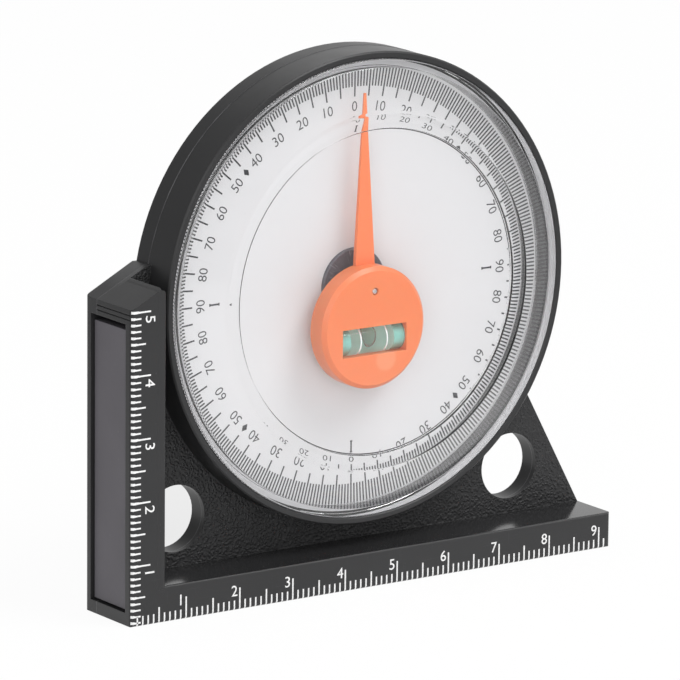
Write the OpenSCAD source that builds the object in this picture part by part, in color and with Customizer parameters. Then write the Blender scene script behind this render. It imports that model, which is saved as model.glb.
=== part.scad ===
// Inclinometer: a weighted pointer with a small vial turns behind a clear lens on a square-edged stand.
// X runs along the base, Y from the dial side to the back, and Z up.
// The origin is the middle of the base, at its underside. All sizes are millimetres.

/* [Base and upright] */
// Length of the base along the printed edge
base_len = 92.5; // [86:0.5:120]
// Depth of the base and upright from front to back
base_depth = 13.3; // [12.5:0.1:18]
// Height of the base bar
base_h = 5.75; // [4.5:0.05:7]
// Width of the upright seen from the front
upright_w = 5.55; // [4.5:0.05:6.5]
// Height of the upright at its outer face
upright_h = 50; // [40:0.5:58]
// Slope of the upright's top, in degrees
top_slope = 27.5; // [15:0.5:35]
// Rounding of the long edges
edge_r = 0.45; // [0.2:0.05:0.8]
// Rounding of the upright corners of the plan
corner_r = 0.8; // [0.3:0.05:1.2]

/* [Dial ring] */
// Sideways place of the dial's centre
ring_x = 0.35; // [-2:0.05:2]
// Height of the dial's centre
ring_z = 47.35; // [46:0.05:58]
// Outer radius of the ring's back flange
ring_r = 37.9; // [34:0.05:39]
// Height of the drum in front of the web
ring_rise = 5.5; // [4:0.1:8]
// Step from the back flange in to the drum
ring_step = 0.05; // [0.05:0.05:0.5]
// Width of the black rim round the lens
rim_w = 1.2; // [1:0.05:2]
// Bevel on the rim's two front edges
rim_bevel = 0.25; // [0.1:0.05:0.4]

/* [Web and holes] */
// Thickness of the web's front skin
web_skin = 0.9; // [0.7:0.05:1.5]
// Slope of the web's free edge, in degrees
web_slope = 61.3; // [56:0.1:66]
// Width of the level ledge where the sloped top meets the ring
ledge_w = 0.8; // [0.4:0.1:2]
// Radius of the two through holes
hole_r = 5.4; // [3:0.1:5.6]
// Distance of each hole's axis from the end of the base
hole_inset = 14.05; // [13.5:0.05:15]
// Height of the holes' axes over the top of the base
hole_rise = 7.75; // [7.4:0.05:8.4]
// Bevel round the back of each hole
hole_bevel = 0.6; // [0.2:0.1:0.8]

/* [Shells] */
// Thickness of the rear cover from the joint to the back face
cover_t = 3.3; // [2.8:0.1:4.5]
// Wall of the rear cover
cover_wall = 1.3; // [1:0.05:1.6]
// Thickness of the dial cup's floor
floor_t = 1.2; // [0.9:0.05:2]
// Gap between the shells' walls and what slides into them
seat_fit = 0.05; // [0.02:0.01:0.1]

/* [Cover screws] */
// Radius of the screws' shanks
screw_r = 1; // [0.7:0.05:1.2]
// Radius of the screws' heads
screw_head_r = 1.9; // [1.6:0.05:2.2]
// Radius of the bosses that take the screws
boss_r = 2.2; // [1.9:0.05:2.6]
// Sideways place of the lower screws
low_screw_x = 18; // [15:0.5:20]
// Height of the lower screws over the top of the base
low_screw_rise = 4; // [3:0.1:4.6]
// Distance of the upper screws' axes in from the ring's edge
high_screw_inset = 4.9; // [4.2:0.1:9]
// Angle of the upper screws from the vertical
high_screw_angle = 45; // [25:1:60]

/* [Magnets] */
// Thickness of both magnet strips
magnet_t = 2; // [1:0.1:2.2]
// Depth of the side magnet's face below the upright's face
side_sink = 0.55; // [0.2:0.05:0.8]
// Depth of the base magnet's face below the base's underside
base_sink = 0.3; // [0.2:0.05:0.6]
// Thickness of the adhesive tape behind each magnet
tape_t = 0.2; // [0.1:0.05:0.4]
// Gap round the magnets
magnet_gap = 0.3; // [0.1:0.05:0.5]
// Gap over the top end of the side magnet
side_top_gap = 1.1; // [0.3:0.1:2]
// Rim of the recesses at the front
recess_front = 1.8; // [1.2:0.1:2.4]
// Rim of the recesses at the back
recess_back = 1.6; // [1.2:0.1:2.2]
// Rim below the side recess
recess_low = 2; // [1.5:0.1:4]
// Rim above the side recess
recess_top = 2.4; // [2.2:0.1:5]
// Distance of the base recess from each end of the base
recess_end = 6; // [4:0.5:20]

/* [Dial card] */
// Thickness of the printed card
card_t = 0.35; // [0.2:0.05:0.6]
// Gap between the card's edge and the outside of the lens
card_gap = 0.4; // [0.1:0.05:0.7]
// Thickness of the card's adhesive ring
card_tape_t = 0.15; // [0.05:0.05:0.3]
// Width of the card's adhesive ring
card_tape_w = 4; // [2:0.5:8]

/* [Lens] */
// Thickness of the lens at its crest
lens_t = 1.25; // [1:0.05:2]
// Thickness of the sloped shoulder
shoulder_t = 0.8; // [0.5:0.05:1.2]
// Thickness of the lens skirt
lens_wall = 1.35; // [0.8:0.05:1.6]
// Width of the shallow sloped shoulder between the foot and the crest
shoulder_w = 6.35; // [2:0.05:8]
// Rounding between the shoulder and the crest
lens_edge_r = 0.8; // [0.4:0.1:1.6]
// Width of the level crest between the shoulder and the bevelled step
crest_w = 0.1; // [0.05:0.05:3]
// Width of the bevelled step
step_w = 2.45; // [1:0.05:4]
// Depth of the bevelled step
step_d = 0.5; // [0.2:0.05:0.7]

/* [Pointer] */
// Gap between the lens and the pointer's front
lens_clear = 0.2; // [0.15:0.05:1]
// Gap between the card and the pointer's back
pointer_gap = 2.6; // [2:0.1:3]
// Radius of the pointer's disc
disc_r = 9.8; // [9:0.1:12]
// Distance of the disc's centre below the pivot
disc_drop = 5.9; // [4:0.1:8]
// Thickness of the pointer's blade
blade_t = 0.8; // [0.7:0.05:1.4]
// Width of the needle where it leaves the disc
needle_w = 3.6; // [2:0.1:5]
// Width of the needle's tip
tip_w = 0.4; // [0.2:0.05:0.8]
// Thickness of the needle's tip
tip_t = 0.25; // [0.2:0.05:0.7]
// Gap between the needle's tip and the lens skirt
tip_gap = 4.3; // [1:0.1:10]
// Height of the cap in front of the blade
cap_h = 2.85; // [2.4:0.05:3.4]
// Wall of the cap
cap_wall = 0.8; // [0.6:0.05:1.2]
// Bevel on the cap's front edge
cap_bevel = 0.65; // [0.3:0.05:0.75]
// Thickness of the counterweight
weight_t = 1.5; // [0.8:0.05:1.55]

/* [Pivot] */
// Radius of the pivot pin
pin_r = 0.5; // [0.4:0.05:0.7]
// Running clearance round the pin
pin_fit = 0.05; // [0.02:0.01:0.1]
// End play of the pointer on the pin
end_play = 0.05; // [0.03:0.01:0.1]
// Radius of the hub disc on the card
hub_r = 6; // [3:0.1:7]
// Thickness of the hub disc
hub_t = 0.6; // [0.4:0.05:1]
// Radius of the hub's spigot in the cup's floor
spigot_r = 2; // [1.5:0.1:3]
// Outer radius of the bush in the pointer
bush_r = 1.2; // [1:0.05:1.5]
// Radius of the spacer collar and the retaining ring
collar_r = 1.1; // [0.9:0.05:1.5]
// Thickness of the retaining ring
retainer_t = 0.35; // [0.25:0.05:0.4]

/* [Vial] */
// Length of the window in the cap
window_l = 12.2; // [10:0.1:12.6]
// Height of the window in the cap
window_h = 4.5; // [3:0.1:4.6]
// Distance of the vial's axis below the pivot
vial_drop = 7.9; // [7.5:0.05:8.5]
// Outer radius of the vial
vial_r = 2.45; // [2.3:0.05:2.5]
// Wall of the vial
vial_wall = 0.7; // [0.5:0.05:0.8]
// Depth of the vial's front below the cap's face
vial_sink = 0.15; // [0.1:0.05:0.4]
// Gap at each end of the vial
vial_end_gap = 0.1; // [0.05:0.05:0.3]
// Length of each plug in the vial's ends
plug_l = 1.9; // [1:0.1:2.4]
// Radius of the bubble
bubble_r = 1.3; // [1:0.05:1.35]
// Clearance round the bubble
bubble_fit = 0.05; // [0.03:0.01:0.08]
// Distance between the vial's two white rings
mark_gap = 5; // [3.5:0.1:6]
// Width of each white ring
mark_w = 0.25; // [0.15:0.05:0.5]
// Thickness of each white ring
mark_t = 0.03; // [0.01:0.01:0.04]

/* [Hidden] */
$fn = 96;

// Ends of the base and faces of the stand
left_x = -base_len / 2;
right_x = base_len / 2;
front_y = -base_depth / 2;
rear_y = base_depth / 2;

// Planes of the shells, worked out from the back
split_y = rear_y - cover_t;
web_y = split_y - web_skin;
drum_y = web_y - ring_rise;
floor_y = split_y - floor_t;
cover_in_y = rear_y - cover_wall;
drum_r = ring_r - ring_step;
seat_r = drum_r - rim_w;
top_z = ring_z + ring_r;

// Planes of the dial stack, worked out from the cup's floor
card_y = floor_y - card_tape_t - card_t;
hub_y = card_y - hub_t;
blade_back_y = card_y - pointer_gap;
blade_y = blade_back_y - blade_t;
cap_y = blade_y - cap_h;
cap_in_y = cap_y + cap_wall;
lens_back_y = cap_y - lens_clear;
lens_y = lens_back_y - lens_t;

// Radii of the dial stack
lens_r = seat_r - seat_fit;
skirt_r = lens_r - lens_wall;
card_r = lens_r - card_gap;
needle_len = skirt_r - tip_gap;

// Vial sizes that follow the window
vial_len = window_l - 2 * vial_end_gap;
vial_y = cap_y + vial_sink + vial_r;
bore_r = vial_r - vial_wall;
liquid_len = vial_len - 2 * plug_l;
channel_r = bubble_r + bubble_fit;
channel_skin = 0.05;
channel_z = bore_r - channel_r - channel_skin;
channel_reach = liquid_len / 2 - 2 * channel_skin - channel_r;

// Pivot stack on the pin
bush_front_y = blade_y - 1;
bush_flange_t = 0.3;
bush_flange_w = 0.6;
retainer_y = bush_front_y - end_play;
pin_sink = 0.1;
pin_bevel = 0.15;

// Depths of the magnet recesses
side_depth = side_sink + magnet_t + tape_t;
base_pocket = base_sink + magnet_t + tape_t;

// Screws and their bosses
screw_head_h = cover_wall - 0.1;
boss_end_y = cover_in_y - seat_fit;
pilot_y = split_y - 0.4;
thread_fit = 0.02;
cross_w = 0.4;

// Two shallow grooves across the top of the upright's face
groove_w = 0.2;
groove_d = 0.2;
groove_drops = [0.75, 1.5];

// Overshoot of a cut past the face it opens
over = 1;

// Heights on the upright's sloped top
function slope_z(x) = upright_h + (x - left_x) * tan(top_slope);

// Points of an arc, from angle a0 to a1
function arc(cx, cy, r, a0, a1, n = 8) =
    [for (i = [0:n]) let (a = a0 + (a1 - a0) * i / n) [cx + r * cos(a), cy + r * sin(a)]];

// Places of the screws on the back, as X and Z
function screw_places() = [
    for (s = [-1, 1]) [s * low_screw_x, base_h + low_screw_rise],
    for (s = [-1, 1]) [
        ring_x + s * (ring_r - high_screw_inset) * sin(high_screw_angle),
        ring_z + (ring_r - high_screw_inset) * cos(high_screw_angle)
    ]
];

// Places of the two through holes, as X and Z
function hole_places() = [for (s = [-1, 1]) [s * (base_len / 2 - hole_inset), base_h + hole_rise]];

// A round bar along Y between two planes
module bar_y(y0, y1, r) {
    translate([0, y0, 0]) rotate([-90, 0, 0]) cylinder(h = y1 - y0, r = r);
}

// A cone along Y between two planes
module cone_y(y0, y1, r0, r1) {
    translate([0, y0, 0]) rotate([-90, 0, 0]) cylinder(h = y1 - y0, r1 = r0, r2 = r1);
}

// A round bar along X, centred
module bar_x(len, r) {
    rotate([0, 90, 0]) cylinder(h = len, r = r, center = true);
}

// A flat outline in X and Z, given thickness between two planes
module slab(y0, y1) {
    translate([0, y1, 0]) rotate([90, 0, 0]) linear_extrude(y1 - y0) children();
}

// A body turned about Y from a profile of radius and Y
module turned() {
    rotate([-90, 0, 0]) rotate_extrude() children();
}

// A rectangle with round corners
module soft_rect(x0, x1, y0, y1, r) {
    translate([x0 + r, y0]) square([x1 - x0 - 2 * r, y1 - y0]);
    translate([x0, y0 + r]) square([x1 - x0, y1 - y0 - 2 * r]);
    for (x = [x0 + r, x1 - r], y = [y0 + r, y1 - r]) translate([x, y]) circle(r);
}

// Moves to the dial's centre
module at_dial() {
    translate([ring_x, 0, ring_z]) children();
}

// Moves to the vial's axis
module at_vial() {
    at_dial() translate([0, vial_y, -vial_drop]) children();
}

// Moves to each of a list of places on the back
module at_each(places) {
    for (p = places) translate([p[0], 0, p[1]]) children();
}

// Outline of the web, inside a margin from its free edges
module web_outline(margin) {
    inner_x = left_x + upright_w;
    ledge_x = ring_x - sqrt(pow(ring_r, 2) - pow(slope_z(ring_x - ring_r) - ring_z, 2)) - ledge_w;
    slope_drop = margin / cos(top_slope);
    edge_shift = margin / sin(web_slope);
    polygon([
        [margin > 0 ? inner_x : left_x + edge_r, margin > 0 ? base_h : base_h / 2],
        [right_x - edge_shift, margin > 0 ? base_h : base_h / 2],
        [right_x - edge_shift, base_h],
        [right_x - edge_shift - (ring_z - base_h) / tan(web_slope), ring_z],
        [ring_x, slope_z(ledge_x) - slope_drop],
        [ledge_x, slope_z(ledge_x) - slope_drop],
        [margin > 0 ? inner_x : left_x + upright_w / 2,
            slope_z(margin > 0 ? inner_x : left_x + upright_w / 2) - slope_drop]
    ]);
}

// Outline of the upright with its sloped top
module upright_outline() {
    inner_x = left_x + upright_w;
    polygon([[left_x, base_h / 2], [inner_x, base_h / 2], [inner_x, slope_z(inner_x)], [left_x, upright_h]]);
}

// Bar of the base with rounded long edges
module base_bar() {
    translate([left_x, 0, 0]) rotate([90, 0, 90])
        linear_extrude(base_len) soft_rect(front_y, rear_y, 0, base_h, edge_r);
}

// Bar of the upright with rounded front edges
module upright_bar() {
    intersection() {
        linear_extrude(top_z) soft_rect(left_x, left_x + upright_w, front_y, rear_y + 2 * corner_r, corner_r);
        slab(front_y, rear_y) upright_outline();
    }
}

// Drum that stands in front of the web, with a bevelled front edge
module drum() {
    at_dial() {
        cone_y(drum_y, drum_y + rim_bevel, drum_r - rim_bevel, drum_r);
        bar_y(drum_y + rim_bevel, split_y, drum_r);
    }
}

// Outer form of both shells together
module housing_form() {
    intersection() {
        union() {
            base_bar();
            upright_bar();
            slab(web_y, rear_y) web_outline(0);
            at_dial() bar_y(split_y, rear_y, ring_r);
            drum();
        }
        linear_extrude(top_z) soft_rect(left_x, right_x, front_y, rear_y, corner_r);
    }
}

// Everything in front of the joint between the shells
module front_side() {
    translate([left_x - over, front_y - over, -over])
        cube([base_len + 2 * over, split_y - front_y + over, top_z + 2 * over]);
}

// Everything behind the joint between the shells
module rear_side() {
    translate([left_x - over, split_y, -over]) cube([base_len + 2 * over, cover_t + over, top_z + 2 * over]);
}

// Recesses of both magnets, cut into both shells
module magnet_recesses() {
    translate([left_x - over, front_y + recess_front, recess_low])
        cube([side_depth + over, base_depth - recess_front - recess_back, upright_h - recess_top - recess_low]);
    translate([left_x + recess_end, front_y + recess_front, -over])
        cube([base_len - 2 * recess_end, base_depth - recess_front - recess_back, base_pocket + over]);
}

// Both through holes, bevelled at the back
module web_holes() {
    at_each(hole_places()) {
        bar_y(web_y - over, rear_y + over, hole_r);
        cone_y(rear_y - hole_bevel, rear_y + hole_bevel, hole_r, hole_r + 2 * hole_bevel);
    }
}

// Cup that holds the card and the lens
module dial_cup() {
    at_dial() {
        bar_y(drum_y - over, floor_y, seat_r);
        cone_y(drum_y - rim_bevel, drum_y + rim_bevel, seat_r + 2 * rim_bevel, seat_r);
        bar_y(floor_y - over, split_y + over, spigot_r + seat_fit);
    }
}

// Grooves across the upright's outer face, above its recess
module face_grooves() {
    for (drop = groove_drops)
        translate([left_x - over, front_y + edge_r, upright_h - drop - groove_w])
            cube([over + groove_d, split_y - front_y, groove_w]);
}

module front_housing() {
    color([0.1, 0.1, 0.105]) difference() {
        union() {
            intersection() {
                housing_form();
                front_side();
            }
            at_each(screw_places()) bar_y(split_y - floor_t / 2, boss_end_y, boss_r);
        }
        dial_cup();
        web_holes();
        magnet_recesses();
        face_grooves();
        at_each(screw_places()) bar_y(pilot_y, boss_end_y + over, screw_r + thread_fit);
    }
}

// Hollow of the rear cover, open to the joint
module cover_hollow() {
    difference() {
        intersection() {
            slab(split_y - over, cover_in_y) {
                web_outline(cover_wall);
                translate([ring_x, ring_z]) circle(ring_r - cover_wall);
            }
            slab(split_y - over, cover_in_y)
                translate([left_x + upright_w, base_h]) square([base_len, top_z]);
        }
        at_each(hole_places()) bar_y(split_y - over, cover_in_y, hole_r + cover_wall);
    }
}

module rear_cover() {
    color([0.1, 0.1, 0.105]) difference() {
        intersection() {
            housing_form();
            rear_side();
        }
        cover_hollow();
        web_holes();
        magnet_recesses();
        at_each(screw_places()) {
            bar_y(cover_in_y - over, rear_y + over, screw_r + seat_fit);
            cone_y(rear_y - screw_head_h, rear_y, screw_r + seat_fit, screw_head_r + seat_fit);
        }
    }
}

module cover_screws() {
    color([0.35, 0.35, 0.37]) at_each(screw_places()) difference() {
        union() {
            bar_y(pilot_y + thread_fit, rear_y - screw_head_h / 2, screw_r);
            cone_y(rear_y - screw_head_h, rear_y, screw_r, screw_head_r);
        }
        for (turn = [0, 90]) rotate([0, turn, 0])
            translate([-screw_r, rear_y - screw_head_h / 2, -cross_w / 2])
                cube([2 * screw_r, screw_head_h, cross_w]);
    }
}

module side_magnet() {
    color([0.2, 0.2, 0.21])
        translate([left_x + side_sink, front_y + recess_front + magnet_gap, recess_low + magnet_gap])
            cube([
                magnet_t,
                base_depth - recess_front - recess_back - 2 * magnet_gap,
                upright_h - recess_top - recess_low - magnet_gap - side_top_gap
            ]);
}

module side_magnet_tape() {
    color([0.9, 0.9, 0.88])
        translate([left_x + side_sink + magnet_t, front_y + recess_front + 2 * magnet_gap,
            recess_low + 2 * magnet_gap])
            cube([
                tape_t,
                base_depth - recess_front - recess_back - 4 * magnet_gap,
                upright_h - recess_top - recess_low - 3 * magnet_gap - side_top_gap
            ]);
}

module base_magnet() {
    color([0.2, 0.2, 0.21])
        translate([left_x + recess_end + magnet_gap, front_y + recess_front + magnet_gap, base_sink])
            cube([
                base_len - 2 * recess_end - 2 * magnet_gap,
                base_depth - recess_front - recess_back - 2 * magnet_gap,
                magnet_t
            ]);
}

module base_magnet_tape() {
    color([0.9, 0.9, 0.88])
        translate([left_x + recess_end + 2 * magnet_gap, front_y + recess_front + 2 * magnet_gap,
            base_sink + magnet_t])
            cube([
                base_len - 2 * recess_end - 4 * magnet_gap,
                base_depth - recess_front - recess_back - 4 * magnet_gap,
                tape_t
            ]);
}

module dial_card() {
    color([0.93, 0.93, 0.94]) at_dial() difference() {
        bar_y(card_y, card_y + card_t, card_r);
        bar_y(card_y - over, card_y + card_t + over, spigot_r + seat_fit);
    }
}

module card_tape() {
    color([0.85, 0.85, 0.8]) at_dial() difference() {
        bar_y(card_y + card_t, floor_y, skirt_r);
        bar_y(card_y, floor_y + over, skirt_r - card_tape_w);
    }
}

// Clear cup with a flat foot in the rim, a sloped shoulder, a crest and a recessed middle
module lens() {
    // Lean of the shoulder from the dial's axis, and how far its roundings reach
    lean = atan(shoulder_w / (drum_y - lens_y));
    reach = tan((90 - lean) / 2);
    crest_r = skirt_r - shoulder_w - lens_edge_r * reach;
    step_r = crest_r - crest_w;
    bend_y = drum_y + shoulder_t / sin(lean);
    inner_edge_r = lens_t / 4;
    inner_front_r = skirt_r - (bend_y - lens_back_y) * tan(lean);
    color([0.85, 0.9, 0.95, 0.35]) at_dial() turned() polygon(concat(
        [[0, lens_y + step_d], [step_r - step_w, lens_y + step_d], [step_r, lens_y]],
        arc(crest_r, lens_y + lens_edge_r, lens_edge_r, -90, -lean, 4),
        [[skirt_r, drum_y], [lens_r, drum_y], [lens_r, card_y], [skirt_r, card_y]],
        [[skirt_r, bend_y]],
        arc(inner_front_r - inner_edge_r * reach, lens_back_y + inner_edge_r, inner_edge_r, -lean, -90, 4),
        [[0, lens_back_y]]
    ));
}

module pivot_hub() {
    hub_bevel = hub_t / 3;
    color([0.25, 0.24, 0.27]) at_dial() difference() {
        union() {
            cone_y(hub_y, hub_y + hub_bevel, hub_r - hub_bevel, hub_r);
            bar_y(hub_y + hub_bevel, card_y, hub_r);
            bar_y(hub_y + hub_bevel, split_y, spigot_r);
        }
        bar_y(hub_y - over, pilot_y, pin_r);
    }
}

module pivot_pin() {
    color([0.75, 0.75, 0.77]) at_dial() {
        cone_y(cap_y + pin_sink, cap_y + pin_sink + pin_bevel, pin_r - pin_bevel, pin_r);
        bar_y(cap_y + pin_sink + pin_bevel, pilot_y, pin_r);
    }
}

module spacer_collar() {
    color([0.75, 0.62, 0.35]) at_dial() difference() {
        bar_y(blade_back_y + end_play, hub_y, collar_r);
        bar_y(blade_back_y, hub_y + over, pin_r);
    }
}

module retaining_ring() {
    color([0.7, 0.7, 0.72]) at_dial() difference() {
        bar_y(retainer_y - retainer_t, retainer_y, collar_r);
        bar_y(retainer_y - over, retainer_y + over, pin_r);
    }
}

// Outline of the needle, from the disc to its tip
module needle_outline() {
    root_z = disc_r - disc_drop;
    polygon([
        [-needle_w / 2, 0], [needle_w / 2, 0], [needle_w / 2, root_z],
        [tip_w / 2, needle_len], [-tip_w / 2, needle_len], [-needle_w / 2, root_z]
    ]);
}

// Needle that gets thinner from the front towards its tip
module needle() {
    root_z = disc_r - disc_drop;
    intersection() {
        slab(blade_y, blade_back_y) needle_outline();
        rotate([90, 0, 90]) linear_extrude(needle_w + over, center = true) polygon([
            [blade_y, -over], [blade_back_y, -over], [blade_back_y, needle_len + over],
            [blade_back_y - tip_t, needle_len + over], [blade_back_y - tip_t, needle_len], [blade_y, root_z]
        ]);
    }
}

// Bay that the vial lies in, between two planes
module vial_bay(y0, y1) {
    translate([-window_l / 2, y0, -vial_drop - vial_r - seat_fit])
        cube([window_l, y1 - y0, 2 * (vial_r + seat_fit)]);
}

module pointer_blade() {
    color([1, 0.45, 0.25]) at_dial() difference() {
        union() {
            translate([0, 0, -disc_drop]) bar_y(blade_y, blade_back_y, disc_r);
            needle();
        }
        bar_y(blade_y - over, blade_back_y + over, bush_r);
        vial_bay(blade_y - over, blade_back_y + over);
    }
}

module pointer_cap() {
    color([1, 0.45, 0.25]) at_dial() difference() {
        union() {
            translate([0, 0, -disc_drop]) turned() polygon([
                [0, cap_y], [disc_r - cap_bevel, cap_y], [disc_r, cap_y + cap_bevel],
                [disc_r, blade_y], [disc_r - cap_wall, blade_y], [disc_r - cap_wall, cap_in_y], [0, cap_in_y]
            ]);
            translate([-window_l / 2 - cap_wall, cap_in_y - cap_wall / 2, -vial_drop - vial_r - seat_fit - cap_wall])
                cube([window_l + 2 * cap_wall, blade_y - cap_in_y + cap_wall / 2,
                    2 * (vial_r + seat_fit + cap_wall)]);
        }
        vial_bay(cap_in_y, blade_y + over);
        translate([-window_l / 2, cap_y - over, -vial_drop - window_h / 2])
            cube([window_l, cap_wall + 2 * over, window_h]);
        bar_y(cap_y - over, cap_in_y + over, pin_r + 2 * pin_fit);
        bar_y(cap_in_y, blade_y + over, bush_r + bush_flange_w + pin_fit);
    }
}

module counterweight() {
    weight_top = -vial_drop - vial_r - seat_fit - cap_wall - seat_fit;
    color([0.6, 0.6, 0.62]) at_dial() intersection() {
        translate([0, 0, -disc_drop]) bar_y(blade_y - weight_t, blade_y, disc_r - cap_wall - seat_fit);
        translate([-disc_r, blade_y - weight_t - over, weight_top - 2 * disc_r])
            cube([2 * disc_r, weight_t + 2 * over, 2 * disc_r]);
    }
}

module pivot_bush() {
    color([0.8, 0.65, 0.3]) at_dial() difference() {
        union() {
            bar_y(bush_front_y, blade_back_y, bush_r);
            bar_y(blade_y - bush_flange_t, blade_y, bush_r + bush_flange_w);
        }
        bar_y(bush_front_y - over, blade_back_y + over, pin_r + pin_fit);
    }
}

module vial_tube() {
    color([0.55, 0.8, 0.7, 0.4]) at_vial() difference() {
        bar_x(vial_len, vial_r);
        bar_x(vial_len + 2 * over, bore_r);
    }
}

module vial_plugs() {
    color([0.45, 0.7, 0.62]) at_vial() for (s = [-1, 1])
        translate([s * (vial_len - plug_l) / 2, 0, 0]) bar_x(plug_l, bore_r);
}

module vial_rings() {
    color([0.95, 0.95, 0.95]) at_vial() for (s = [-1, 1])
        translate([s * mark_gap / 2, 0, 0]) difference() {
            bar_x(mark_w, vial_r + mark_t);
            bar_x(mark_w + over, vial_r);
        }
}

module vial_liquid() {
    color([0.45, 0.75, 0.65, 0.6]) at_vial() difference() {
        bar_x(liquid_len, bore_r);
        translate([0, 0, channel_z]) {
            bar_x(2 * channel_reach, channel_r);
            for (s = [-1, 1]) translate([s * channel_reach, 0, 0]) sphere(channel_r);
        }
    }
}

module vial_bubble() {
    color([0.9, 0.95, 0.95, 0.3]) at_vial() translate([0, 0, channel_z]) sphere(bubble_r);
}

front_housing();
rear_cover();
cover_screws();
side_magnet();
side_magnet_tape();
base_magnet();
base_magnet_tape();
dial_card();
card_tape();
lens();
pivot_hub();
pivot_pin();
spacer_collar();
retaining_ring();
pointer_blade();
pointer_cap();
counterweight();
pivot_bush();
vial_tube();
vial_plugs();
vial_rings();
vial_liquid();
vial_bubble();
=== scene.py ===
"""Inclinometer: dial printing, rulers, clear lens, vial, finishes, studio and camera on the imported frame."""
import logging
import math
from dataclasses import dataclass
from enum import Enum
from typing import Any, Optional, Sequence, Union

import bmesh
import bpy
from mathutils import Matrix, Vector


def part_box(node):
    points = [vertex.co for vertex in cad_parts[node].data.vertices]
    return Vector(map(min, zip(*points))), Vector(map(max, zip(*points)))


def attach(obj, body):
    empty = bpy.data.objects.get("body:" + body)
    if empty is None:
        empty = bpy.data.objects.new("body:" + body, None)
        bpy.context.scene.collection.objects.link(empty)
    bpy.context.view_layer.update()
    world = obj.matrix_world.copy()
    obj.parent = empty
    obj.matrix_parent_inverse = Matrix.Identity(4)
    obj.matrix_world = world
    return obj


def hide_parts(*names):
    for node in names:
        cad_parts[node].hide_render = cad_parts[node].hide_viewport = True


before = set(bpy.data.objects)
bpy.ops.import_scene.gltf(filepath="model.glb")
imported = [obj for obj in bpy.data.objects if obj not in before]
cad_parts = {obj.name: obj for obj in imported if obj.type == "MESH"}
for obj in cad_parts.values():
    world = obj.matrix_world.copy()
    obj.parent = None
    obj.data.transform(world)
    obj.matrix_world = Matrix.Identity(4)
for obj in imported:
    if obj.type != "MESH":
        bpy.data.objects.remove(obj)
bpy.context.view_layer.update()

MM = 0.001
PICTURE = 680
LOG = logging.getLogger("inclinometer")

Colour = tuple[float, float, float]
Source = Union[bpy.types.NodeSocket, float, int, bool, Sequence[float], bpy.types.ID]


class Effect(Enum):
    """Shader groups that more than one finish uses."""

    SKIN = "moulded_skin"
    WEAR = "edge_wear_and_highlight"
    SCUFF = "handling_scuffs"
    DUST = "fine_dust"
    LEATHER = "leather_grain"


class Metal(Enum):
    """How a metal piece was finished."""

    BRIGHT = "bright drawn"
    TURNED = "turned"
    PLATED = "dark plated"
    STAMPED = "plain stamped"


class Edge(Enum):
    """Edge of the stand that a ruler is printed along."""

    BASE = "base"
    UPRIGHT = "upright"


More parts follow.
